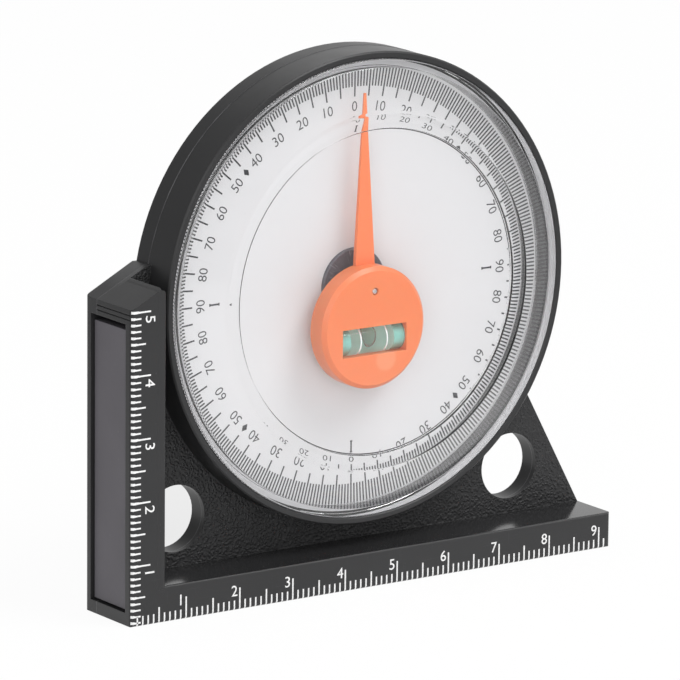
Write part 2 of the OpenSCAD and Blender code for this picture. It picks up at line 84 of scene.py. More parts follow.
class Pen:
    """Adds nodes to one tree and joins them."""

    def __init__(self, tree: bpy.types.NodeTree) -> None:
        """Keeps the tree to draw in."""
        self.tree = tree

    def add(self, kind: str, feeds: Optional[dict[Union[str, int], Source]] = None, **settings: Any) -> bpy.types.Node:
        """Adds a node.

        Args:
            kind: The node's type name.
            feeds: Values or sockets for its inputs, by name or number.
            settings: Plain properties of the node.

        Returns:
            The new node.
        """
        node = self.tree.nodes.new(kind)
        for name, value in settings.items():
            setattr(node, name, value)
        for key, source in (feeds or {}).items():
            self.feed(node, key, source)
        return node

    def feed(self, node: bpy.types.Node, key: Union[str, int], source: Source) -> None:
        """Joins a socket to a node's input, or sets the input's value.

        Args:
            node: The node that is fed.
            key: Name or number of its input.
            source: A socket to join, or a plain value.
        """
        socket = node.inputs[key]
        if isinstance(source, bpy.types.NodeSocket):
            self.tree.links.new(source, socket)
        else:
            socket.default_value = source

    def math(self, operation: str, *values: Source) -> bpy.types.NodeSocket:
        """Adds a Math node.

        Args:
            operation: Name of the operation.
            values: Up to three inputs.

        Returns:
            The node's result.
        """
        return self.add("ShaderNodeMath", dict(enumerate(values)), operation=operation).outputs[0]

    def vector(self, operation: str, *values: Source) -> bpy.types.Node:
        """Adds a Vector Math node and returns it."""
        return self.add("ShaderNodeVectorMath", dict(enumerate(values)), operation=operation)

    def scaled(self, colour: Source, level: Source) -> bpy.types.NodeSocket:
        """Scales a colour by a number."""
        return self.add("ShaderNodeVectorMath", {0: colour, "Scale": level}, operation="SCALE").outputs[0]

    def split(self, vector: Source) -> bpy.types.NodeOutputs:
        """Adds a Separate XYZ node and returns its outputs X, Y and Z."""
        return self.add("ShaderNodeSeparateXYZ", {0: vector}).outputs

    def join(self, x: Source = 0.0, y: Source = 0.0, z: Source = 0.0) -> bpy.types.NodeSocket:
        """Adds a Combine XYZ node and returns its vector."""
        return self.add("ShaderNodeCombineXYZ", {0: x, 1: y, 2: z}).outputs[0]

    def between(self, share: Source, first: Source, second: Source) -> bpy.types.NodeSocket:
        """Mixes two numbers, by the second one's share."""
        return self.add("ShaderNodeMix", {0: share, 2: first, 3: second}, data_type="FLOAT").outputs[0]

    def blend(self, amount: Source, first: Source, second: Source) -> bpy.types.NodeSocket:
        """Mixes two colours.

        Args:
            amount: Share of the second colour.
            first: The first colour.
            second: The second colour.

        Returns:
            The mixed colour.
        """
        return self.add("ShaderNodeMix", {0: amount, 6: first, 7: second}, data_type="RGBA").outputs[2]

    def remap(self, value: Source, low: float, high: float, to_low: float, to_high: float) -> bpy.types.NodeSocket:
        """Maps one range smoothly to another.

        Args:
            value: The value that is mapped.
            low: Start of the first range.
            high: End of the first range.
            to_low: Start of the second range.
            to_high: End of the second range.

        Returns:
            The mapped value, held inside the second range.
        """
        feeds = {0: value, 1: low, 2: high, 3: to_low, 4: to_high}
        return self.add("ShaderNodeMapRange", feeds, interpolation_type="SMOOTHSTEP").outputs[0]

    def place(self, scale: Sequence[float] = (1, 1, 1), turn: Sequence[float] = (0, 0, 0),
              shift: Sequence[float] = (0, 0, 0)) -> bpy.types.NodeSocket:
        """Object coordinates through a Mapping node.

        Args:
            scale: Scale on each axis.
            turn: Turn about each axis, in radians.
            shift: Move on each axis, in metres.

        Returns:
            The mapped coordinates.
        """
        object_place = self.add("ShaderNodeTexCoord").outputs["Object"]
        feeds = {"Vector": object_place, "Scale": scale, "Rotation": turn, "Location": shift}
        return self.add("ShaderNodeMapping", feeds).outputs[0]

    def noise(self, place: Source, scale: Source, detail: float = 2.0, rough: float = 0.5) -> bpy.types.NodeSocket:
        """Adds a noise texture and returns its value."""
        feeds = {"Vector": place, "Scale": scale, "Detail": detail, "Roughness": rough}
        return self.add("ShaderNodeTexNoise", feeds).outputs[0]


def rgba(colour: Colour) -> tuple[float, float, float, float]:
    """A colour with full alpha."""
    return (*colour, 1.0)


class Effects:
    """Shader groups that finishes share, each built once."""

    def __init__(self) -> None:
        """Starts with no group built."""
        self._made: dict[Effect, bpy.types.NodeTree] = {}
        self._builders = {
            Effect.SKIN: self._skin,
            Effect.WEAR: self._wear,
            Effect.SCUFF: self._scuff,
            Effect.DUST: self._dust,
            Effect.LEATHER: self._leather,
        }

    def use(self, pen: Pen, effect: Effect, **feeds: Source) -> bpy.types.Node:
        """Places a group in a material.

        Args:
            pen: Pen of the material's tree.
            effect: The group to place.
            feeds: Values or sockets by input name, with _ for a space.

        Returns:
            The group node.
        """
        if effect not in self._made:
            self._made[effect] = self._builders[effect]()
        node = pen.add("ShaderNodeGroup", node_tree=self._made[effect])
        for name, source in feeds.items():
            pen.feed(node, name.replace("_", " ").title(), source)
        return node

    @staticmethod
    def _start(effect: Effect, inputs: dict[str, tuple[str, Any]],
               outputs: dict[str, str]) -> tuple[bpy.types.NodeTree, Pen, bpy.types.Node, bpy.types.Node]:
        """Makes an empty group with its sockets.

        Args:
            effect: Which group it is.
            inputs: Kind and default value of each input.
            outputs: Kind of each output.

        Returns:
            The tree, its pen, its input node and its output node.
        """
        tree = bpy.data.node_groups.new(effect.value, "ShaderNodeTree")
        for name, (kind, value) in inputs.items():
            socket = tree.interface.new_socket(name=name, in_out="INPUT", socket_type="NodeSocket" + kind)
            socket.default_value = value
        for name, kind in outputs.items():
            tree.interface.new_socket(name=name, in_out="OUTPUT", socket_type="NodeSocket" + kind)
        pen = Pen(tree)
        return tree, pen, pen.add("NodeGroupInput"), pen.add("NodeGroupOutput")

    def _skin(self) -> bpy.types.NodeTree:
        """Fine skin of moulded plastic: cloudy tone, uneven gloss and a shallow ripple.

        Returns:
            The group, with Color, Roughness and Height.
        """
        inputs = {
            "Base": ("Color", (0.5, 0.5, 0.5, 1.0)),
            "Tone Spread": ("Float", 0.1),
            "Roughness": ("Float", 0.4),
            "Gloss Spread": ("Float", 0.1),
            "Grain Scale": ("Float", 3000.0),
        }
        outputs = {"Color": "Color", "Roughness": "Float", "Height": "Float"}
        tree, pen, source, sink = self._start(Effect.SKIN, inputs, outputs)
        place = pen.place()
        cloud = pen.noise(place, 70.0, 3.0)
        fine = pen.noise(place, source.outputs["Grain Scale"], 3.0, 0.6)
        swing = pen.math("MULTIPLY", pen.math("SUBTRACT", cloud, 0.5), source.outputs["Tone Spread"])
        level = pen.math("ADD", pen.math("MULTIPLY", swing, 2.0), 1.0)
        uneven = pen.math("SUBTRACT", pen.noise(place, 240.0, 4.0), 0.5)
        gloss = pen.math("MULTIPLY", uneven, source.outputs["Gloss Spread"])
        pen.feed(sink, "Color", pen.scaled(source.outputs["Base"], level))
        pen.feed(sink, "Roughness", pen.math("ADD", source.outputs["Roughness"], gloss))
        pen.feed(sink, "Height", fine)
        return tree

    def _wear(self) -> bpy.types.NodeTree:
        """Rounds sharp edges and paints them paler: partly wear where hands and benches rub them, partly a painted
        highlight along the edges.

        Returns:
            The group, with Color, Mask and Normal.
        """
        inputs = {
            "Color": ("Color", (0.5, 0.5, 0.5, 1.0)),
            "Worn Color": ("Color", (0.6, 0.6, 0.6, 1.0)),
            "Width": ("Float", 0.0001),
            "Amount": ("Float", 0.5),
        }
        outputs = {"Color": "Color", "Mask": "Float", "Normal": "Vector"}
        tree, pen, source, sink = self._start(Effect.WEAR, inputs, outputs)
        soft = pen.add("ShaderNodeBevel", {"Radius": source.outputs["Width"]}, samples=4)
        flat = pen.add("ShaderNodeNewGeometry").outputs["Normal"]
        lean = pen.math("SUBTRACT", 1.0, pen.vector("DOT_PRODUCT", soft.outputs[0], flat).outputs["Value"])
        edge = pen.remap(lean, 0.02, 0.25, 0.0, 1.0)
        broken = pen.remap(pen.noise(pen.place(), 900.0, 4.0, 0.65), 0.42, 0.62, 0.15, 1.0)
        mask = pen.math("MULTIPLY", pen.math("MULTIPLY", edge, broken), source.outputs["Amount"])
        pen.feed(sink, "Color", pen.blend(mask, source.outputs["Color"], source.outputs["Worn Color"]))
        pen.feed(sink, "Mask", mask)
        pen.feed(sink, "Normal", soft.outputs[0])
        return tree

    def _scuff(self) -> bpy.types.NodeTree:
        """Thin rubbed lines that cross each other, as long use leaves.

        Returns:
            The group, with Mask.
        """
        inputs = {"Scale": ("Float", 300.0), "Amount": ("Float", 0.3)}
        tree, pen, source, sink = self._start(Effect.SCUFF, inputs, {"Mask": "Float"})
        total: Source = 0.0
        for turn, stretch in ((0.4, (1.0, 1.0, 26.0)), (-0.9, (22.0, 1.0, 1.0))):
            place = pen.place(scale=stretch, turn=(0.0, turn, 0.0))
            line = pen.noise(place, source.outputs["Scale"], 2.0)
            total = pen.math("MAXIMUM", pen.remap(line, 0.66, 0.74, 0.0, 1.0), total)
        patch = pen.remap(pen.noise(pen.place(), 120.0, 2.0), 0.45, 0.65, 0.0, 1.0)
        mask = pen.math("MULTIPLY", pen.math("MULTIPLY", total, patch), source.outputs["Amount"])
        pen.feed(sink, "Mask", mask)
        return tree

    def _dust(self) -> bpy.types.NodeTree:
        """Sparse tiny specks.

        Returns:
            The group, with Mask.
        """
        inputs = {"Scale": ("Float", 1500.0), "Amount": ("Float", 0.3)}
        tree, pen, source, sink = self._start(Effect.DUST, inputs, {"Mask": "Float"})
        cell = pen.add("ShaderNodeTexVoronoi", {"Vector": pen.place(), "Scale": source.outputs["Scale"]})
        speck = pen.remap(cell.outputs["Distance"], 0.05, 0.14, 1.0, 0.0)
        draw = pen.add("ShaderNodeSeparateColor", {0: cell.outputs["Color"]}).outputs[0]
        chosen = pen.remap(draw, 0.9, 0.93, 0.0, 1.0)
        mask = pen.math("MULTIPLY", pen.math("MULTIPLY", speck, chosen), source.outputs["Amount"])
        pen.feed(sink, "Mask", mask)
        return tree

    def _leather(self) -> bpy.types.NodeTree:
        """Leather-like grain of a textured mould.

        Returns:
            The group, with Height and Valley.
        """
        inputs = {"Scale": ("Float", 1700.0)}
        outputs = {"Height": "Float", "Valley": "Float"}
        tree, pen, source, sink = self._start(Effect.LEATHER, inputs, outputs)
        place = pen.place()
        shake = pen.add("ShaderNodeTexNoise", {"Vector": place, "Scale": 900.0, "Detail": 1.0})
        moved = pen.vector("MULTIPLY_ADD", shake.outputs["Color"], (0.0005, 0.0005, 0.0005), place)
        cell = pen.add("ShaderNodeTexVoronoi", {"Vector": moved.outputs[0], "Scale": source.outputs["Scale"]},
                       feature="SMOOTH_F1")
        dome = pen.remap(cell.outputs["Distance"], 0.12, 0.62, 1.0, 0.0)
        fine = pen.noise(place, 3600.0, 2.0)
        pen.feed(sink, "Height", pen.math("MULTIPLY_ADD", fine, 0.35, dome))
        pen.feed(sink, "Valley", pen.math("SUBTRACT", 1.0, dome))
        return tree


class Draft:
    """A new material with its Principled shader and output."""

    def __init__(self, name: str) -> None:
        """Makes the material and its first two nodes.

        Args:
            name: The material's name.
        """
        self.material = bpy.data.materials.new(name)
        self.material.use_nodes = True
        self.material.node_tree.nodes.clear()
        self.pen = Pen(self.material.node_tree)
        self.shader = self.pen.add("ShaderNodeBsdfPrincipled")
        self.output = self.pen.add("ShaderNodeOutputMaterial", {"Surface": self.shader.outputs[0]})

    def set(self, **feeds: Source) -> None:
        """Feeds the Principled shader by socket name, with _ for a space."""
        for name, source in feeds.items():
            self.pen.feed(self.shader, name.replace("_", " ").title().replace("Ior", "IOR"), source)

    def bump(self, height: Source, depth: float, normal: Optional[Source] = None) -> None:
        """Feeds a Bump node to the shader's normal.

        Args:
            height: Height that changes over the surface.
            depth: Real depth of a height of one, in metres.
            normal: A normal to start from.
        """
        node = self.pen.add("ShaderNodeBump", {"Strength": 1.0, "Distance": depth, "Height": height})
        if normal is not None:
            self.pen.feed(node, "Normal", normal)
        self.pen.feed(self.shader, "Normal", node.outputs[0])

    def pass_light(self, body: Source, tint: Source) -> None:
        """Shows a clear body to the eye and lets the light of lamps and pale surfaces straight through.

        Args:
            body: The shader that the eye sees.
            tint: Colour that the light takes on its way.
        """
        clear = self.pen.add("ShaderNodeBsdfTransparent", {"Color": tint})
        path = self.pen.add("ShaderNodeLightPath")
        passing = self.pen.math("MAXIMUM", path.outputs["Is Shadow Ray"], path.outputs["Is Diffuse Ray"])
        mix = self.pen.add("ShaderNodeMixShader", {0: passing, 1: body, 2: clear.outputs[0]})
        self.pen.feed(self.output, "Surface", mix.outputs[0])


@dataclass(frozen=True)
class MouldedPlastic:
    """Plastic as it leaves the mould, its edges paler partly from rubbing and partly from a painted highlight."""

    name: str
    colour: Colour
    worn: Colour
    roughness: float = 0.38
    gloss_spread: float = 0.12
    tone_spread: float = 0.15
    skin_scale: float = 3500.0
    skin_depth: float = 0.0000015
    edge_width: float = 0.00012
    wear: float = 0.25
    scuff: float = 0.1
    specular: float = 0.5
    leather_depth: float = 0.0
    leather_scale: float = 1900.0
    leather_plane: float = 0.0
    leather_reach: float = 0.00006
    flat_limit: float = 0.9
    polish_height: float = 0.0
    polish: float = 0.14
    joint_plane: Optional[float] = None
    joint_half: float = 0.00008
    # Place and size of a painted reflection, a pale round mark.
    blush_place: Optional[tuple[float, float, float]] = None
    blush_radius: float = 0.002
    glow_depth: float = 0.0

    def build(self, effects: Effects) -> bpy.types.Material:
        """Builds the material.

        Args:
            effects: The shared shader groups.

        Returns:
            The material.
        """
        draft = Draft(self.name)
        pen = draft.pen
        skin = effects.use(pen, Effect.SKIN, base=rgba(self.colour), tone_spread=self.tone_spread,
                           roughness=self.roughness, gloss_spread=self.gloss_spread, grain_scale=self.skin_scale)
        colour = skin.outputs["Color"]
        # Painted reflection: a pale round mark on the surface.
        if self.blush_place is not None:
            colour = self._blush(pen, colour)
        if self.joint_plane is not None:
            colour = self._joint(pen, colour)
        wear = effects.use(pen, Effect.WEAR, color=colour, worn_color=rgba(self.worn), width=self.edge_width,
                           amount=self.wear)
        scuff = effects.use(pen, Effect.SCUFF, scale=260.0, amount=self.scuff)
        dust = effects.use(pen, Effect.DUST, scale=1100.0, amount=0.25)
        marks = pen.math("MAXIMUM", scuff.outputs[0], dust.outputs[0])
        colour = pen.blend(marks, wear.outputs["Color"], rgba(self.worn))
        rough = pen.math("MULTIPLY_ADD", scuff.outputs[0], 0.25, skin.outputs["Roughness"])
        height: Source = skin.outputs["Height"]
        if self.leather_depth > 0:
            mask = self._leather_mask(pen)
            leather = effects.use(pen, Effect.LEATHER, scale=self.leather_scale)
            ratio = self.leather_depth / self.skin_depth
            grain = pen.math("MULTIPLY", pen.math("MULTIPLY", leather.outputs["Height"], mask), ratio)
            height = pen.math("ADD", height, grain)
            rough = pen.math("MULTIPLY_ADD", pen.math("MULTIPLY", leather.outputs["Valley"], mask), 0.15, rough)
        if self.polish_height > 0:
            rough = pen.between(self._level_below(pen), rough, self.polish)
        if self.glow_depth > 0:
            draft.set(subsurface_weight=0.4, subsurface_radius=(1.0, 0.5, 0.3), subsurface_scale=self.glow_depth)
        draft.set(base_color=colour, roughness=rough, specular_ior_level=self.specular)
        draft.bump(height, self.skin_depth, wear.outputs["Normal"])
        return draft.material

    def _leather_mask(self, pen: Pen) -> bpy.types.NodeSocket:
        """Mask of the textured field, which lies in one plane and faces the front.

        Args:
            pen: Pen of the material's tree.

        Returns:
            One on the field and nought elsewhere.
        """
        on_plane = pen.math("COMPARE", pen.split(pen.place())["Y"], self.leather_plane, self.leather_reach)
        normal = pen.add("ShaderNodeNewGeometry").outputs["True Normal"]
        towards_front = pen.math("ABSOLUTE", pen.split(normal)["Y"])
        return pen.math("MULTIPLY", on_plane, pen.math("GREATER_THAN", towards_front, self.flat_limit))

    def _level_below(self, pen: Pen) -> bpy.types.NodeSocket:
        """Mask of level faces lower than the polish height.

        Args:
            pen: Pen of the material's tree.

        Returns:
            One on them and nought elsewhere.
        """
        normal = pen.add("ShaderNodeNewGeometry").outputs["True Normal"]
        level = pen.math("GREATER_THAN", pen.split(normal)["Z"], self.flat_limit)
        low = pen.math("LESS_THAN", pen.split(pen.place())["Z"], self.polish_height)
        return pen.math("MULTIPLY", level, low)

    def _joint(self, pen: Pen, colour: Source) -> bpy.types.NodeSocket:
        """Thin pale line where the two shells meet.

        Args:
            pen: Pen of the material's tree.
            colour: The plastic's colour.

        Returns:
            The colour with the line.
        """
        near = pen.math("COMPARE", pen.split(pen.place())["Y"], self.joint_plane, self.joint_half)
        broken = pen.remap(pen.noise(pen.place(), 160.0, 2.0), 0.35, 0.6, 0.3, 0.9)
        return pen.blend(pen.math("MULTIPLY", near, broken), colour, rgba(self.worn))

    def _blush(self, pen: Pen, colour: Source) -> bpy.types.NodeSocket:
        """Pale round mark: a painted reflection on the cap, in the paler edge colour.

        Args:
            pen: Pen of the material's tree.
            colour: The plastic's colour.

        Returns:
            The colour with the mark.
        """
        away = pen.vector("DISTANCE", pen.place(), self.blush_place).outputs["Value"]
        mark = pen.remap(away, self.blush_radius * 0.8, self.blush_radius * 1.1, 0.35, 0.0)
        return pen.blend(mark, colour, rgba(self.worn))


@dataclass(frozen=True)
class ClearPlastic:
    """Clear polished plastic that lets lamps through to what lies behind it."""

    name: str
    tint: Colour = (0.99, 0.99, 0.995)
    refraction: float = 1.49
    roughness: float = 0.012

    def build(self, effects: Effects) -> bpy.types.Material:
        """Builds the material.

        Args:
            effects: The shared shader groups.

        Returns:
            The material.
        """
        draft = Draft(self.name)
        pen = draft.pen
        scuff = effects.use(pen, Effect.SCUFF, scale=220.0, amount=0.03)
        rough = pen.math("ADD", scuff.outputs[0], self.roughness)
        draft.set(base_color=rgba(self.tint), roughness=rough, transmission_weight=1.0, ior=self.refraction)
        draft.pass_light(draft.shader.outputs[0], rgba(self.tint))
        return draft.material


@dataclass(frozen=True)
class PaperCard:
    """White card with faint fibres."""

    name: str
    colour: Colour = (0.72, 0.72, 0.725)
    speck: Colour = (0.35, 0.34, 0.33)

    def build(self, effects: Effects) -> bpy.types.Material:
        """Builds the material.

        Args:
            effects: The shared shader groups.

        Returns:
            The material.
        """
        draft = Draft(self.name)
        pen = draft.pen
        fibre = pen.noise(pen.place(scale=(1.0, 1.0, 2.4), turn=(0.0, 0.5, 0.0)), 1800.0, 4.0, 0.6)
        cloud = pen.noise(pen.place(), 60.0, 2.0)
        tone = pen.math("MULTIPLY_ADD", fibre, 0.03, pen.math("MULTIPLY_ADD", cloud, 0.03, 0.97))
        dust = effects.use(pen, Effect.DUST, scale=500.0, amount=0.12)
        final = pen.blend(dust.outputs[0], pen.scaled(self.colour, tone), rgba(self.speck))
        draft.set(base_color=final, roughness=pen.math("MULTIPLY_ADD", fibre, 0.1, 0.68))
        draft.bump(fibre, 0.000004)
        return draft.material


@dataclass(frozen=True)
class PrintInk:
    """Printed ink, thin in places."""

    name: str
    colour: Colour
    thin: Colour
    roughness: float = 0.5
    thin_share: float = 0.5

    def build(self, effects: Effects) -> bpy.types.Material:
        """Builds the material.

        Args:
            effects: The shared shader groups.

        Returns:
            The material.
        """
        draft = Draft(self.name)
        pen = draft.pen
        patchy = pen.remap(pen.noise(pen.place(), 2600.0, 3.0), 0.45, 0.7, 0.0, self.thin_share)
        scuff = effects.use(pen, Effect.SCUFF, scale=320.0, amount=0.4)
        share = pen.math("MAXIMUM", patchy, scuff.outputs[0])
        draft.set(base_color=pen.blend(share, rgba(self.colour), rgba(self.thin)),
                  roughness=pen.math("MULTIPLY_ADD", share, 0.15, self.roughness))
        return draft.material


@dataclass(frozen=True)
class MagnetRubber:
    """Flexible magnet strip with the faint streaks of its extrusion."""

    name: str
    colour: Colour = (0.1, 0.094, 0.106)
    worn: Colour = (0.18, 0.175, 0.185)
    speck: Colour = (0.3, 0.3, 0.31)
    streak: tuple[float, float, float] = (1.0, 1.0, 0.04)

    def build(self, effects: Effects) -> bpy.types.Material:
        """Builds the material.

        Args:
            effects: The shared shader groups.

        Returns:
            The material.
        """
        draft = Draft(self.name)
        pen = draft.pen
        lines = pen.noise(pen.place(scale=self.streak), 1400.0, 3.0)
        cloud = pen.noise(pen.place(), 90.0, 3.0)
        level = pen.math("MULTIPLY_ADD", lines, 0.14, pen.math("MULTIPLY_ADD", cloud, 0.3, 0.78))
        dust = effects.use(pen, Effect.DUST, scale=900.0, amount=0.3)
        final = pen.blend(dust.outputs[0], pen.scaled(self.colour, level), rgba(self.speck))
        wear = effects.use(pen, Effect.WEAR, color=final, worn_color=rgba(self.worn), width=0.00015, amount=0.4)
        draft.set(base_color=wear.outputs["Color"], roughness=pen.math("MULTIPLY_ADD", lines, 0.16, 0.5))
        draft.bump(lines, 0.000006, wear.outputs["Normal"])
        return draft.material


@dataclass(frozen=True)
class MetalPiece:
    """A small metal piece."""

    name: str
    colour: Colour
    kind: Metal
    roughness: float = 0.28
    worn_gain: float = 1.5

    def build(self, effects: Effects) -> bpy.types.Material:
        """Builds the material.

        Args:
            effects: The shared shader groups.

        Returns:
            The material.
        """
        draft = Draft(self.name)
        pen = draft.pen
        stretch = {
            Metal.BRIGHT: (1.0, 0.08, 1.0),
            Metal.TURNED: (1.0, 9.0, 1.0),
            Metal.PLATED: (1.0, 1.0, 1.0),
            Metal.STAMPED: (1.0, 1.0, 1.0),
        }[self.kind]
        lines = pen.noise(pen.place(scale=stretch), 2400.0, 3.0)
        cloud = pen.noise(pen.place(), 300.0, 3.0)
        level = pen.math("MULTIPLY_ADD", lines, 0.2, pen.math("MULTIPLY_ADD", cloud, 0.25, 0.78))
        worn = tuple(min(1.0, part * self.worn_gain) for part in self.colour)
        wear = effects.use(pen, Effect.WEAR, color=pen.scaled(self.colour, level), worn_color=rgba(worn),
                           width=0.00008, amount=0.5)
        draft.set(base_color=wear.outputs["Color"], metallic=1.0,
                  roughness=pen.math("MULTIPLY_ADD", lines, 0.2, self.roughness - 0.1))
        draft.bump(lines, 0.000003, wear.outputs["Normal"])
        return draft.material


@dataclass(frozen=True)
class TapeFilm:
    """Double-sided tape."""

    name: str
    colour: Colour = (0.72, 0.72, 0.68)
    weave: Colour = (0.5, 0.5, 0.46)
    speck: Colour = (0.2, 0.2, 0.2)

    def build(self, effects: Effects) -> bpy.types.Material:
        """Builds the material.

        Args:
            effects: The shared shader groups.

        Returns:
            The material.
        """
        draft = Draft(self.name)
        pen = draft.pen
        thread = pen.add("ShaderNodeTexVoronoi", {"Vector": pen.place(), "Scale": 1300.0}).outputs["Distance"]
        colour = pen.blend(pen.remap(thread, 0.1, 0.8, 0.0, 0.4), rgba(self.colour), rgba(self.weave))
        dust = effects.use(pen, Effect.DUST, scale=700.0, amount=0.4)
        final = pen.blend(dust.outputs[0], colour, rgba(self.speck))
        draft.set(base_color=final, roughness=pen.math("MULTIPLY_ADD", thread, 0.2, 0.5))
        draft.bump(thread, 0.00001)
        return draft.material


@dataclass(frozen=True)
class HubPlastic:
    """Dark hub, its face turned with fine rings and crossed by light scratches."""

    name: str
    centre: tuple[float, float, float]
    colour: Colour = (0.1, 0.092, 0.108)
    scratch: Colour = (0.42, 0.4, 0.43)

    def build(self, effects: Effects) -> bpy.types.Material:
        """Builds the material.

        Args:
            effects: The shared shader groups.

        Returns:
            The material.
        """
        draft = Draft(self.name)
        pen = draft.pen
        away = pen.split(pen.place(shift=tuple(-part for part in self.centre)))
        squares = pen.math("ADD", pen.math("POWER", away["X"], 2.0), pen.math("POWER", away["Z"], 2.0))
        radius = pen.math("SQRT", squares)
        turn = pen.math("ARCTAN2", away["Z"], away["X"])
        spun = pen.join(pen.math("MULTIPLY", radius, 900.0), pen.math("MULTIPLY", turn, 1.6))
        rings = pen.noise(spun, 3.0, 4.0, 0.7)
        ray = pen.join(pen.math("MULTIPLY", radius, 240.0), pen.math("MULTIPLY", turn, 9.0))
        streak = pen.remap(pen.noise(ray, 2.0, 3.0), 0.6, 0.72, 0.0, 0.7)
        scuff = effects.use(pen, Effect.SCUFF, scale=500.0, amount=0.8)
        marks = pen.math("MAXIMUM", streak, scuff.outputs[0])
        level = pen.math("MULTIPLY_ADD", rings, 1.6, 0.2)
        final = pen.blend(marks, pen.scaled(self.colour, level), rgba(self.scratch))
        draft.set(base_color=final, roughness=pen.math("MULTIPLY_ADD", rings, 0.2, 0.32))
        draft.bump(rings, 0.00001)
        return draft.material


@dataclass(frozen=True)
class TintedFill:
    """Tinted liquid, clear in front and bright where its far side lies on the tube."""

    name: str
    tint: Colour
    far: Colour
    refraction: float
    streak: Colour = (0.9, 0.97, 0.94)
    far_streak: Colour = (0.78, 1.0, 0.95)
    roughness: float = 0.02

    def build(self) -> bpy.types.Material:
        """Builds the material.

        Returns:
            The material.
        """
        draft = Draft(self.name)
        pen = draft.pen
        lines = pen.noise(pen.place(scale=(5.0, 0.3, 1.0), turn=(0.0, 0.5, 0.0)), 900.0, 2.0)
        tint = pen.blend(pen.math("MULTIPLY", lines, 0.3), rgba(self.tint), rgba(self.streak))
        draft.set(base_color=tint, roughness=self.roughness, transmission_weight=1.0, ior=self.refraction)
        far_tone = pen.blend(pen.remap(lines, 0.35, 0.65, 0.0, 0.35), rgba(self.far), rgba(self.far_streak))
        far = pen.add("ShaderNodeBsdfPrincipled", {"Base Color": far_tone, "Roughness": 0.5})
        faced = pen.add("ShaderNodeNewGeometry").outputs["Backfacing"]
        body = pen.add("ShaderNodeMixShader", {0: faced, 1: draft.shader.outputs[0], 2: far.outputs[0]})
        draft.pass_light(body.outputs[0], tint)
        return draft.material


@dataclass(frozen=True)
class BubbleAir:
    """Air bubble with a dark orange rim, a painted reflection of its orange surround."""

    name: str
    tint: Colour = (0.88, 0.96, 0.93)
    pale: Colour = (0.96, 0.99, 0.98)
    rim: Colour = (0.26, 0.1, 0.06)
    refraction: float = 1.02
    roughness: float = 0.02

    def build(self) -> bpy.types.Material:
        """Builds the material.

        Returns:
            The material.
        """
        draft = Draft(self.name)
        pen = draft.pen
        cloud = pen.noise(pen.place(), 1200.0, 2.0)
        draft.set(base_color=pen.blend(cloud, rgba(self.tint), rgba(self.pale)), roughness=self.roughness,
                  transmission_weight=1.0, ior=self.refraction)
        # The rim's colour is a painted reflection of the orange window round the bubble.
        rim = pen.add("ShaderNodeBsdfPrincipled", {"Base Color": rgba(self.rim), "Roughness": 0.15})
        facing = pen.add("ShaderNodeLayerWeight", {"Blend": 0.5}).outputs["Facing"]
        share = pen.remap(facing, 0.35, 0.7, 0.0, 0.85)
        mix = pen.add("ShaderNodeMixShader", {0: share, 1: draft.shader.outputs[0], 2: rim.outputs[0]})
        pen.feed(draft.output, "Surface", mix.outputs[0])
        return draft.material


